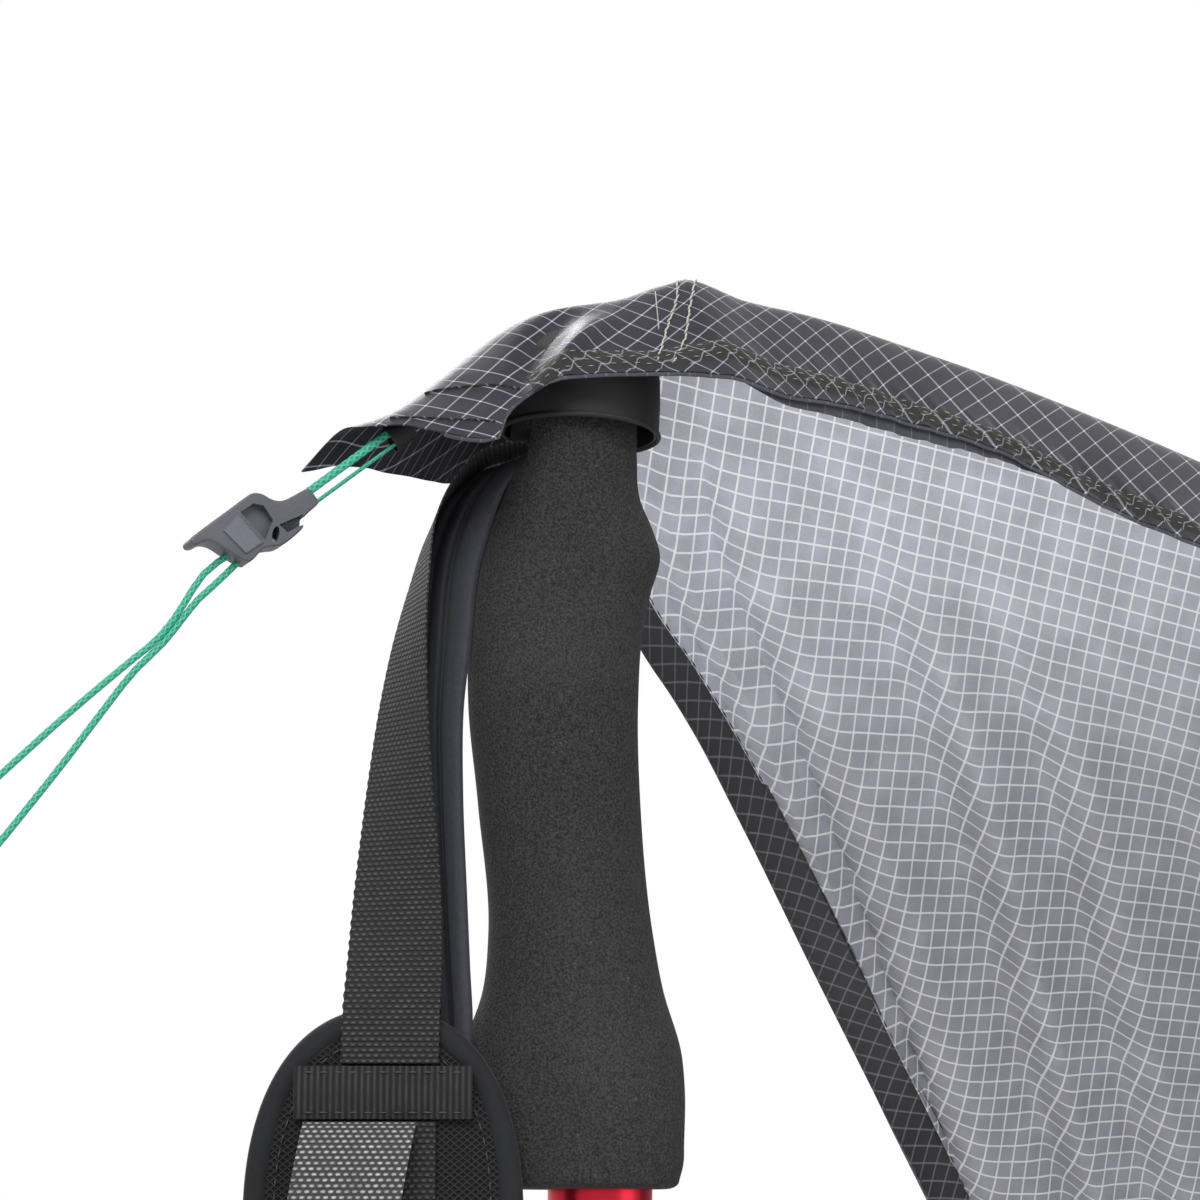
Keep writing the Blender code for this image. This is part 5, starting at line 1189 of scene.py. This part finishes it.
class TENT_OT_handle(bpy.types.Operator):
    """Foam grip with the strap's slot and the pole's bore, and the red collar's neck"""

    bl_idname = "tent.handle"
    bl_label = "Grip"

    def execute(self, context):
        angle = np.arange(112) / 112 * TURN
        lift = np.radians(np.linspace(87, 3, 22))
        depth = np.linspace(0, GRIP_END, 186)
        shift, wide, deep = (eased(depth, [(r[0], r[k]) for r in GRIP]) for k in (1, 2, 3))
        palm = np.r_[np.full(22, HEAD_SHIFT), HEAD_RADIUS * shift]
        half_wide = np.r_[HEAD_RADIUS * np.cos(lift), HEAD_RADIUS * wide]
        half_deep = np.r_[HEAD_DEPTH * np.cos(lift), GRIP_DEPTH * deep]
        height = np.r_[HEAD_HEIGHT + HEAD_DEPTH * np.sin(lift), HEAD_HEIGHT - GRIP_LENGTH * depth]
        low = np.linspace(0, 1, 6)[1:] * math.pi / 2
        palm = np.r_[palm, np.full(5, palm[-1])]
        height = np.r_[height,
                       HEAD_HEIGHT - GRIP_LENGTH * (GRIP_END + FOOT_DROP * np.sin(low))]
        half_wide = np.r_[half_wide, half_wide[-1] - GRIP_ROUND * (1 - np.cos(low))]
        half_deep = np.r_[half_deep, half_deep[-1] - GRIP_ROUND * (1 - np.cos(low))]
        grid = handle(palm[:, None] + half_wide[:, None] * np.cos(angle),
                      half_deep[:, None] * np.sin(angle), height[:, None])
        grip = surface("foam_grip", grid, "foam", around=True, caps=True)
        centre = handle(HEAD_SHIFT + HEAD_RADIUS - SLOT_IN, 0.0, HEAD_HEIGHT - SLOT_DROP)
        cut(grip, box_object("slot_cutter", np.array(SLOT_SIZE), centre, YAW, 0.0014))
        foot = HEAD_HEIGHT - GRIP_LENGTH
        turn = np.arange(64) / 64 * TURN
        ring = np.stack([np.cos(turn), np.sin(turn), 0 * turn], axis=1)
        rise = np.array([foot - 0.004, BORE_TOP])[:, None, None] * UP
        cut(grip, surface("bore_cutter", BORE_RADIUS * ring + rise, "foam", around=True,
                          caps=True))
        place_piece(grip, replaces=("grip",))
        out = np.array([COLLAR_OUT, COLLAR_OUT, BORE_RADIUS, BORE_RADIUS, COLLAR_OUT])
        rise = np.array([foot, COLLAR_TOP, COLLAR_TOP, foot, foot])
        grid = out[:, None, None] * ring + rise[:, None, None] * UP
        place_piece(surface("collar_neck", grid, "red", around=True, sharp=30))
        return {"FINISHED"}


class TENT_OT_strap(bpy.types.Operator):
    """Wrist strap: woven webbing and folded lining"""

    bl_idname = "tent.strap"
    bl_label = "Wrist strap"

    def execute(self, context):
        t = np.linspace(-0.5, 0.5, 15)
        rows, route = strand_rows(WEB, 0.0059, 0.0186, t, 420)
        along = np.r_[0, np.cumsum(np.linalg.norm(np.diff(route[:, :3], axis=0), axis=1))]
        saw = 1 + 0.014 * np.sin(TURN * along / 0.0021)[:, None, None]
        middle = rows[:, 7:8]
        rows = middle + (rows - middle) * saw
        web = surface("woven_strap", rows, "webbing", thickness=WEB_CLOTH, offset=0.0,
                      towards=DOOR + PALM)
        place_piece(web, "wrist_strap", ("strap_webbing",))
        drop, left, right, back, front = smooth_route(np.array(LINING), 260).T / 1000
        t = np.linspace(0, 1, 57)
        profile = eased(t, LINING_FOLDS) / 1000
        grown = step_between(np.linspace(0, 1, 260), 0.03, 0.16)[:, None]
        palm = left[:, None] + (right - left)[:, None] * t
        door = back[:, None] + (front - back)[:, None] * t + profile * grown
        lining = surface("folded_strap_lining", handle(palm, door, HEAD_HEIGHT - drop[:, None]),
                         "lining", thickness=0.0012, offset=0.0, towards=DOOR + PALM)
        place_piece(lining, "wrist_strap", ("strap_lining",))
        return {"FINISHED"}


class TENT_OT_pad(bpy.types.Operator):
    """Wrist pad of spacer mesh with its binding, ribbon, grey loop and stitches"""

    bl_idname = "tent.pad"
    bl_label = "Wrist pad"

    def execute(self, context):
        inset = np.r_[np.linspace(0.020, 0.0035, 16), np.linspace(0.0035, 0.0020, 5)[1:]]
        swell = PAD_HALF * np.sqrt(np.clip(1 - ((0.020 - inset) / 0.0190) ** 4, 0.05, 1))
        grid = np.concatenate([[pad_outline(i, d) for i, d in zip(inset, swell)],
                               [pad_outline(i, -d) for i, d in zip(inset[::-1], swell[::-1])]])
        local = np.stack([grid @ PALM, grid[..., 2]], axis=-1)
        local = np.concatenate([local, local[:, :1]], axis=1)
        pad = surface("mesh_pad", grid, "mesh", around=True, caps=True, uv=local)
        place_piece(pad, "wrist_strap", ("wrist_pad",))
        ring = pad_outline(0.0024, 0.0, 180)
        ring = np.vstack([ring, ring[:1]])
        t = np.arange(12) / 12 * TURN
        ahead = unit(np.gradient(ring, axis=0))
        out = np.cross(ahead, DOOR)
        grid = (ring[:, None] + out[:, None] * 0.0027 * np.cos(t)[None, :, None]
                + DOOR[None, None] * 0.0024 * np.sin(t)[None, :, None])
        binding = surface("smooth_binding", grid, "binding", around=True)
        place_piece(binding, "wrist_strap", ("pad_binding",))
        stitches("binding_stitches", pad_outline(0.0058, PAD_HALF - 0.0001, 180), DOOR, 0.0028,
                 0.0020, 0.00018, "dark_thread", body="wrist_strap", slot="pad_mesh")
        face = PAD_FORWARD + PAD_HALF + 0.0003
        high = HEAD_HEIGHT - WEB_FALL - 0.0005
        along, across = np.meshgrid(np.linspace(-0.5, 0.5, 60), np.linspace(0, 1, 13),
                                    indexing="ij")
        rise = 0.0012 + 0.0006 * np.sin(math.pi * across) + 0.0002 * np.sin(9 * along)
        grid = handle(PAD_SHIFT + 0.0340 * along, face + rise, high - 0.0100 * across)
        ribbon = surface("ribbed_pad_ribbon", grid, "ribbon", towards=DOOR, thickness=0.0010)
        place_piece(ribbon, "wrist_strap", ("pad_ribbon",))
        down, side = np.meshgrid(np.linspace(0, 1, 90), np.linspace(-0.5, 0.5, 13),
                                 indexing="ij")
        back = handle(PAD_SHIFT + 0.0025 + 0.0250 * side, face + 0.0009 + 0 * down,
                      high - 0.0105 - 0.0430 * down)
        tape = surface("flat_pad_tape", back, "webbing", towards=DOOR, thickness=0.0008)
        place_piece(tape, "wrist_strap")
        rise = 0.0018 + 0.0058 * np.sin(math.pi * down ** 0.8) ** 0.8
        lean = 0.0043 + 0.0070 * down
        grid = handle(PAD_SHIFT + lean + 0.0214 * side, face + rise - 0.0016 * side * down,
                      high - 0.0105 - 0.0430 * down)
        loop = surface("grey_pad_loop", grid, "loop", towards=DOOR, thickness=0.0011)
        place_piece(loop, "wrist_strap", ("pad_loop",))
        for label, drop in (("top", 0.0012), ("low", 0.0088)):
            line = handle(PAD_SHIFT + np.linspace(-0.0155, 0.0155, 40), face + 0.00145,
                          high - drop)
            stitches(f"ribbon_stitches_{label}", line, DOOR, 0.0026, 0.0019, 0.00018,
                     "dark_thread", body="wrist_strap", slot="strap_webbing")
        return {"FINISHED"}


class TENT_OT_pole(bpy.types.Operator):
    """Finishes of the telescoping pole, the rear strut and the small hard parts"""

    bl_idname = "tent.pole"
    bl_label = "Pole and strut"

    def execute(self, context):
        looks = {
            "red": ("upper_shaft", "grip_collar"),
            "grey": ("mid_shaft", "low_shaft", "strut_upper", "strut_lower"),
            "steel": ("strap_pin", "upper_lever_pin", "lower_lever_pin", "carbide_tip"),
            "plastic": ("upper_clamp", "lower_clamp", "tip_ferrule", "basket", "strut_cap",
                        "door_toggle_upper", "door_toggle_lower"),
            "lever": ("upper_lever", "lower_lever"),
            "rubber": ("strut_foot",),
            "stake": ("guyline_stake", "far_front_stake", "far_rear_stake", "near_door_stake",
                      "near_rear_stake"),
        }
        for look, names in looks.items():
            for name in names:
                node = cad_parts[name]
                node.data.materials.clear()
                node.data.materials.append(finish(look))
                if look in ("plastic", "lever", "rubber", "red"):
                    bevel = node.modifiers.new("soft edges", "BEVEL")
                    bevel.width, bevel.segments = 0.0004, 2
                    bevel.limit_method, bevel.angle_limit = "ANGLE", math.radians(38)
                    bevel.harden_normals = True
        return {"FINISHED"}


# ---------------------------------------------------------------- pockets and door

def pocket(name, x, y, radius, low, node, clearance):
    """A pocket's band from its lower rim to the roof under the canopy, then the roof.

    low gives the rim's height by the angle round the pocket.
    """
    angle = np.arange(96) / 96 * TURN
    share = np.r_[np.ones(26), np.linspace(1, 0.04, 16)[1:]]
    lift = np.r_[np.linspace(0, 1, 26), np.ones(15)]
    c, s = np.cos(angle), np.sin(angle)
    out = share[:, None] * radius * (1 + 0.012 * np.sin(3 * angle + 9 * lift[:, None]))
    px, py = x + out * c, y + out * s
    roof = canopy(px, py)[..., 2] - clearance
    rim = np.broadcast_to(low(angle)[None], px.shape)
    points = np.stack([px, py, rim + (roof - rim) * lift[:, None]], axis=-1)
    band = surface(name, points, "band", around=True, thickness=0.0009)
    place_piece(band, replaces=(node,))
    return points


class TENT_OT_pockets(bpy.types.Operator):
    """Pockets that take the pole's head and the rear strut's cap"""

    bl_idname = "tent.pockets"
    bl_label = "Pockets"

    def execute(self, context):
        centre = handle(0.0038, 0.0, 0.0)

        def low(angle):
            """Rim's height: lowest to the right and behind."""
            right = np.cos(angle - YAW)
            return 1.1703 - 0.0014 * (1 + right) / 2 - 0.0011 * (1 + np.sin(angle - YAW)) / 2

        points = pocket("pole_pocket_band", centre[0], centre[1], 0.0158, low, "pole_pocket",
                        0.0016)
        rim = np.vstack([points[0], points[0][:1]])
        edging = tube_grid(rim, (0, 0, 1), 0.0006, 0.0005, 8)
        place_piece(surface("pocket_edging", edging, "band", around=True))

        def level(angle):
            """Rim's height of the rear pocket."""
            return np.full_like(angle, REAR_HEIGHT - 0.0340)

        pocket("rear_pocket_band", REAR_X - 0.022, 0.0, 0.0125, level, "rear_pocket", 0.0014)
        return {"FINISHED"}


def roll_path(share):
    """Centre, radius and outward direction of the rolled door over the near wall."""
    share = np.asarray(share, float)
    x = 0.30 + 0.92 * share
    radius = 0.012 + 0.012 * share
    y = -(door_edge(x) - 0.012)
    spot = canopy(x, y)
    normal = unit(np.cross(canopy(x + 0.0025, y) - spot, canopy(x, y - 0.0025) - spot))
    normal *= np.sign(normal[..., 2:])
    return spot + normal * (radius * 0.98 + 0.0019)[..., None], radius, normal


def roll_frame(share):
    """Centre, radius, side, up and along of the roll."""
    centre, radius, normal = roll_path(share)
    along = unit(roll_path(np.minimum(share + 0.01, 1))[0]
                 - roll_path(np.maximum(share - 0.01, 0))[0])
    side = unit(np.cross(along, normal))
    return centre, radius, side, np.cross(side, along), along


def round_roll(rows, reach, angle):
    """Points at a reach and an angle about the roll's middle, for rows of roll_frame."""
    centre, _, side, up, _ = rows
    return (centre[:, None] + side[:, None] * (reach * np.cos(angle))[..., None]
            + up[:, None] * (reach * np.sin(angle))[..., None])


class TENT_OT_door(bpy.types.Operator):
    """Rolled-up door, two ties with toggles"""

    bl_idname = "tent.door"
    bl_label = "Rolled door"

    def execute(self, context):
        share = np.linspace(0, 1, 150)
        rows = roll_frame(share)
        radius, along = rows[1], rows[4]
        turns = 4.6
        angle = np.linspace(0, turns * TURN, int(turns * 30))
        inward = 1 - 0.78 * angle / angle[-1]
        pinch = 0.05 * (np.exp(-((share - 0.22) / 0.03) ** 2)
                        + np.exp(-((share - 0.70) / 0.03) ** 2))
        wave = 0.012 * np.sin(TURN * share * 5.3)[:, None] * np.sin(angle)[None] \
            + 0.010 * np.sin(TURN * share * 11.0 + 1)[:, None] * np.cos(2 * angle)[None]
        reach = (radius * (1.0 - pinch))[:, None] * (inward[None] * (1 + wave * inward[None]))
        uneven = 0.008 * np.sin(angle * 0.9 + 0.6) - 0.004 * angle / TURN
        ends = (share[:, None] - 0.5) * 2
        slip = uneven[None] * ends ** 3
        grid = round_roll(rows, reach, angle) + along[:, None] * slip[..., None]
        uv = arc_lengths(grid)
        roll = surface("rolled_door_cloth", grid, "door", uv=uv, thickness=0.0004)
        place_piece(roll, replaces=("door_roll",))
        for label, tie in (("upper", 0.22), ("lower", 0.70)):
            near = tie + np.linspace(-0.0045, 0.0045, 7)
            rows = roll_frame(near)
            angle = np.arange(64) / 64 * TURN
            reach = (rows[1] * 0.972)[:, None] + 0.0004 + 0 * angle
            band = round_roll(rows, reach, angle)
            tie_band = surface(f"door_tie_band_{label}", band, "ground_loop", around=True,
                               thickness=0.0010, offset=1.0)
            place_piece(tie_band, replaces=(f"door_tie_{label}",))
        return {"FINISHED"}


# ---------------------------------------------------------------- guyline and ground gear

GUY_TOP = np.array([-0.0410, 0.0, 1.16683])
GUY_LOCK = np.array([-0.0691, 0.0, 1.1444])
GUY_FOOT = np.array([-1.2121, 0.0, 0.00435])

# Offsets of the two strands from the line between lock and stake, in millimetres.
UPPER_CORD = [(0.0049, 0.5), (0.0080, 1.3), (0.0120, 1.9), (0.0160, 1.9), (0.0200, 0.9),
              (0.0250, -0.4), (0.0300, -1.1), (0.0380, -0.7), (0.0540, 0.0), (0.0707, 0.2)]
LOWER_CORD = [(0.0049, -0.9), (0.0080, -0.8), (0.0120, -0.9), (0.0160, -0.9), (0.0200, -0.9),
              (0.0250, -1.7), (0.0300, -2.4), (0.0380, -2.6), (0.0480, -4.1),
              (0.0597, -6.1), (0.0793, -8.95)]


def above(direction):
    """Direction square to a line in the tent's middle plane, on its upper side."""
    return np.array([direction[2], 0.0, -direction[0]])


class TENT_OT_guyline(bpy.types.Operator):
    """Doubled braided guyline from the beak through its lock and round the stake"""

    bl_idname = "tent.guyline"
    bl_label = "Guyline"

    def execute(self, context):
        half, wrap = 0.00125, 0.00305
        first, second = unit(GUY_LOCK - GUY_TOP), unit(GUY_FOOT - GUY_LOCK)
        full = float(np.linalg.norm(GUY_FOOT - GUY_LOCK))
        short = float(np.linalg.norm(GUY_LOCK - GUY_TOP))

        def strand(sign, slack, near_lock, gain, reach):
            """Centre line of a strand from the beak to the stake.

            Behind the lock it follows a table of offsets; further on its offset is the
            frame's, and what the table has more fades away along the cord.
            """
            near = np.linspace(0.0, 0.8 * short, 10)[:, None]
            inside = np.r_[np.linspace(0.0049, reach, 60), np.linspace(reach, full, 110)[1:-1]]
            start = 0.049
            p = np.clip((inside - start) / (full - start), 0, 1)
            spread = sign * (half + (wrap - half) * p + slack * 4 * p * (1 - p))
            spread = spread + gain * np.exp(-np.maximum(inside - reach, 0) / 0.20)
            offset = np.where(inside < reach, eased(inside, near_lock) / 1000, spread)
            return np.vstack([GUY_TOP + above(first) * half * sign + first * near,
                              GUY_LOCK + above(second) * offset[:, None]
                              + second * inside[:, None]])

        upper = strand(1, 0.0, UPPER_CORD, -0.00108, 0.0707)
        lower = strand(-1, 0.055, LOWER_CORD, -0.00345, 0.0793)
        turn = np.linspace(0, math.pi, 17)[:, None]
        bend = GUY_FOOT + wrap * (above(second) * np.cos(turn) + second * np.sin(turn))
        route = smooth_route(np.vstack([upper, bend, lower[::-1]]), 900)
        place = np.r_[0, np.cumsum(np.linalg.norm(np.diff(route, axis=0), axis=1))]
        end = place[-1]
        flat = 1 - step_between(place, short * 0.75, short * 1.05)
        thin = 1 - step_between(end - place, short * 0.75, short * 1.05)
        radius = settings("tent_gear").cord_radius
        high = radius * (1 + 0.22 * flat - 0.40 * thin)
        wide = radius * (1 - 0.25 * flat + 0.10 * thin)
        grid = tube_grid(route, (0, 1, 0), wide, high, 14)
        uv = np.stack(np.meshgrid(np.linspace(0, 1, 15), place), axis=-1)
        cord = surface("braided_guyline", grid, "braid", around=True, caps=True, uv=uv)
        place_piece(cord, replaces=("front_guyline",))

        t, angle = np.linspace(-0.5, 0.5, 5), np.arange(40) / 40 * TURN
        bulge = np.clip(np.sin(angle) * 4, -1, 1) * half
        rings = (GUY_TOP + (first * 0.005)[None, None] * (t[:, None, None] + 0.3)
                 + np.array([0, 1, 0]) * 0.00135 * np.cos(angle)[None, :, None]
                 + above(first) * (bulge + 0.00135 * np.sin(angle))[None, :, None])
        loop = surface("guy_tab_loop", rings, "band", around=True, thickness=0.0006, offset=1.0)
        place_piece(loop, replaces=("front_guy_loop",))
        return {"FINISHED"}


# Side outline of the line lock in millimetres: forward and up.
LOCK = np.array([
    (-14.4, 6.7), (-11.0, 6.7), (-5.0, 6.4), (-0.6, 6.2), (0.9, 5.9), (2.2, 4.7), (3.2, 2.5),
    (4.6, 1.2), (7.0, 0.6), (9.6, 0.1), (10.3, -0.5), (10.3, -3.0), (9.7, -3.7), (6.2, -3.9),
    (5.2, -4.6), (4.2, -5.4), (1.5, -5.6), (-1.2, -5.4), (-3.0, -4.4), (-4.6, -3.7),
    (-7.8, -4.0), (-8.9, -3.4), (-10.2, -0.2), (-11.3, 3.0), (-12.6, 4.5), (-14.4, 5.0),
    (-15.1, 5.8)])


class TENT_OT_lock(bpy.types.Operator):
    """Moulded line lock on the guyline"""

    bl_idname = "tent.lock"
    bl_label = "Line lock"

    def execute(self, context):
        forward = unit(unit(GUY_TOP - GUY_LOCK) + unit(GUY_LOCK - GUY_FOOT))
        up = above(-forward)
        across = np.cross(forward, up)
        facing = -np.sign(across[1])
        origin = GUY_LOCK + forward * 0.00067 + up * 0.00137
        ring = LOCK[::-1] / 1000
        closed = np.vstack([ring[-2:], ring, ring[:3]])
        smooth = smooth_route(np.c_[closed, np.zeros(len(closed))], 400)[:, :2]
        start = np.linalg.norm(smooth - ring[0], axis=1)[:90].argmin()
        stop = 250 + np.linalg.norm(smooth - ring[0], axis=1)[250:].argmin()
        outline = smooth[start:stop]
        step = np.roll(outline, -1, axis=0) - np.roll(outline, 1, axis=0)
        inward = unit(np.stack([-step[:, 1], step[:, 0]], axis=1))
        area = (outline[:, 0] * np.roll(outline[:, 1], -1)
                - outline[:, 1] * np.roll(outline[:, 0], -1)).sum()
        inward *= np.sign(area)
        soft, half = 0.00045, 0.00345
        turn = np.linspace(0, math.pi / 2, 6)
        inset = soft * (1 - np.cos(turn))
        level = half - soft + soft * np.sin(turn)
        inset, level = np.r_[inset[::-1], inset], np.r_[-level[::-1], level] + 0.00105 * facing
        flat = outline[None] + inward[None] * inset[:, None, None]

        def raised(flat, levels):
            """Points of the side view at levels across the lock."""
            return (origin + flat[..., :1] * forward + flat[..., 1:] * up
                    + levels[:, None, None] * across)

        lock = surface("moulded_line_lock", raised(flat, level), "plastic", around=True,
                       caps=True)
        basis = np.stack([forward, across, up], axis=1)

        def prism(name, points, low, high, look="plastic", soft=0.0):
            """A many-sided block over points in the lock's side view."""
            points = np.asarray(points) / 1000
            levels, grow = np.array([low, high]), np.ones(2)
            if soft:
                levels = np.array([low, low + soft, high - soft, high])
                grow = np.array([0.9, 1, 1, 0.9])
            middle = points.mean(axis=0)
            flat = middle + (points - middle) * grow[:, None, None]
            return surface(name, raised(flat, levels), look, around=True, caps=True, sharp=30)

        front = 0.0045 * facing
        channel = box_object("channel_cutter", np.array([0.049, 0.0029, 0.0065]), np.zeros(3))
        corners = np.empty(24)
        channel.data.vertices.foreach_get("co", corners)
        corners = corners.reshape(-1, 3) @ basis.T + GUY_LOCK
        channel.data.vertices.foreach_set("co", corners.ravel())
        cut(lock, channel)
        t = np.arange(20) / 20 * TURN
        slant = np.array([0.80, 0.60])
        eye = (np.array([-0.9, -3.0]) + 1.65 * np.cos(t)[:, None] * slant
               + 0.70 * np.sin(t)[:, None] * np.array([-0.60, 0.80]))
        cut(lock, prism("eye_cutter", eye, -0.009, 0.009))
        hollow = [(-3.6, 4.6), (-0.4, 4.3), (0.9, 2.7), (0.5, -0.6), (-3.3, -2.5)]
        cut(lock, prism("hollow_cutter", hollow, front - 0.0018 * facing, front + 0.002 * facing))
        window = [(0.9, -2.0), (5.8, -3.3), (7.0, -5.9), (3.6, -4.6), (1.2, -4.2)]
        cut(lock, prism("window_cutter", window, front - 0.0033 * facing,
                        front + 0.002 * facing))
        plate = [(-8.8, 3.9), (-4.2, 4.5), (-4.0, -2.9), (-8.2, -2.5)]
        face = prism("line_lock_face", plate, front - 0.0010 * facing, front + 0.0004 * facing,
                     "plastic_worn", 0.0004)
        place_piece(face, "line_lock")
        place_piece(lock, "line_lock", ("front_line_lock",))
        return {"FINISHED"}


# Radius of the stakes' wire and how far a loop reaches out from the cloth.
WIRE_RADIUS, LOOP_REACH = 0.00175, 0.034


class TENT_OT_ground(bpy.types.Operator):
    """Webbing loops at the ground corners"""

    bl_idname = "tent.ground"
    bl_label = "Ground loops"

    def execute(self, context):
        lean = (FRONT_Y - BACK_Y) / (BACK_X - FRONT_X)
        door_x, rear_x = DOOR_X + 0.010, BACK_X - 0.010
        corners = {"far_front": ((FRONT_X, FRONT_Y), (-0.5, 1)),
                   "near_door": ((door_x, -base_width(door_x)), (lean, -1)),
                   "far_rear": ((rear_x, base_width(rear_x)), (lean, 1)),
                   "near_rear": ((rear_x, -base_width(rear_x)), (lean, -1))}
        for name, (root, outward) in corners.items():
            out = unit(np.array([*outward, 0.0]))
            side = np.array([-out[1], out[0], 0.0])
            height = WIRE_RADIUS + SHEET + 0.0006
            bend = WIRE_RADIUS + 0.0003 + SHEET / 2
            stake = np.array([*root, height]) + out * (LOOP_REACH - bend)
            start = np.array([*root, height - bend]) + out * 0.0006
            path = [start] + [start + out * (LOOP_REACH - bend) * t for t in (0.33, 0.66)]
            turn = -math.pi / 2 + math.pi * np.arange(11) / 10
            path += list(stake + bend * (out * np.cos(turn)[:, None]
                                         + UP * np.sin(turn)[:, None]))
            low = height - bend + SHEET + 0.0003
            path += [stake - out * bend + [0, 0, bend],
                     stake - out * 0.017 + [0, 0, low - height],
                     np.array([*root, low]) + out * 0.0068]
            route = smooth_route(np.array(path), 90)
            across = np.linspace(-0.005, 0.005, 9)
            grid = route[:, None] + side * across[None, :, None]
            loop = surface(f"{name}_webbing", grid, "ground_loop", thickness=SHEET, offset=0.0,
                           towards=(0, 0, -1))
            place_piece(loop, replaces=(f"{name}_loop",))
        return {"FINISHED"}


# ---------------------------------------------------------------- stage, panel and main

WHITE = (1.0, 1.0, 1.0, 1.0)
FLOOR_HALF, FLOOR_HEIGHT = 60.0, -0.0005
LAMP_TARGET = (0.2, 0.0, 1.0)
CAMERA_PLACE, CAMERA_TARGET = (-0.24251, -0.66630, 1.00997), (0.0, 0.0, 1.135)


def stand(name, data, place, target):
    """A lamp or camera at a place, looking at a target."""
    obj = bpy.data.objects.new(name, data)
    obj.location = place
    way = Vector(target) - obj.location
    obj.rotation_euler = way.to_track_quat("-Z", "Y").to_euler()
    bpy.context.scene.collection.objects.link(obj)
    return obj


class TENT_OT_stage(bpy.types.Operator):
    """Pale floor, white surroundings, soft lamps and the camera at the photo's angle"""

    bl_idname = "tent.stage"
    bl_label = "Stage"

    def execute(self, context):
        look = settings("tent_stage")
        scene = context.scene
        scene.view_settings.view_transform = "Standard"
        world = bpy.data.worlds.new("white_room")
        scene.world = world
        world.use_nodes = True
        room = Nodes(world.node_tree)
        rays = room.node("ShaderNodeLightPath")
        seen = (rays.beside("Is Camera Ray") + rays.beside("Is Glossy Ray")
                + rays.beside("Is Transmission Ray")).least(1.0)
        plain, shown = (room.node("ShaderNodeBackground", None,
                                  {"Color": WHITE, "Strength": strength})
                        for strength in (look.air, 1.0))
        mixed = room.node("ShaderNodeMixShader", None, (seen, plain, shown))
        room.tree.links.new(mixed.socket, room.tree.nodes["World Output"].inputs["Surface"])

        corners = np.array([(-1, -1), (1, -1), (1, 1), (-1, 1)]) * FLOOR_HALF
        floor = new_object("floor", np.c_[corners, np.full(4, FLOOR_HEIGHT)], [(0, 1, 2, 3)])
        f = Finish("pale_floor", roughness=0.7)
        f.tint(f.noise(6.0, 4.0), shade(look.floor, 0.96), look.floor)
        floor.data.materials.append(f.material)
        lamps = {"key_lamp": ((-1.2, -2.2, 3.0), 1.6, look.key),
                 "fill_lamp": ((2.4, -2.6, 1.8), 2.2, look.key * 0.3),
                 "crest_lamp": ((-0.15, 1.45, 2.78), 0.8, look.key * 0.20),
                 "back_lamp": ((0.4, 2.6, 2.6), 1.8, look.key * 0.35)}
        for name, (place, size, power) in lamps.items():
            lamp = bpy.data.lights.new(name, "AREA")
            lamp.energy, lamp.size = power, size
            stand(name, lamp, place, LAMP_TARGET)
        camera = bpy.data.cameras.new("photo_camera")
        camera.lens, camera.sensor_width = look.lens, 36
        camera.clip_start = 0.01
        scene.camera = stand("photo_camera", camera, CAMERA_PLACE, CAMERA_TARGET)
        return {"FINISHED"}


PIECES = (TENT_OT_hood, TENT_OT_walls, TENT_OT_hems, TENT_OT_pockets, TENT_OT_handle,
          TENT_OT_strap, TENT_OT_pad, TENT_OT_pole, TENT_OT_door, TENT_OT_guyline,
          TENT_OT_lock, TENT_OT_ground, TENT_OT_stage)


class TENT_PT_panel(bpy.types.Panel):
    """Settings and pieces of the tent"""

    bl_idname = "TENT_PT_panel"
    bl_label = "Trekking pole tent"
    bl_space_type = "VIEW_3D"
    bl_region_type = "UI"
    bl_category = "Tent"

    def draw(self, context):
        for name, group in GROUPS.items():
            box = self.layout.box()
            for key in group.__annotations__:
                box.prop(getattr(context.scene, name), key)
        for piece in PIECES:
            self.layout.operator(piece.bl_idname)


CLASSES = (*GROUPS.values(), *PIECES, TENT_PT_panel)


def register():
    """Register the settings, the operators and the panel."""
    for kind in CLASSES:
        bpy.utils.register_class(kind)
    for name, group in GROUPS.items():
        setattr(bpy.types.Scene, name, PointerProperty(type=group))


def unregister():
    """Take the settings, the operators and the panel away."""
    for name in GROUPS:
        delattr(bpy.types.Scene, name)
    for kind in reversed(CLASSES):
        bpy.utils.unregister_class(kind)


def main():
    """Make every piece in order."""
    register()
    for piece in PIECES:
        group, name = piece.bl_idname.split(".")
        getattr(getattr(bpy.ops, group), name)()


if __name__ == "__main__":
    main()
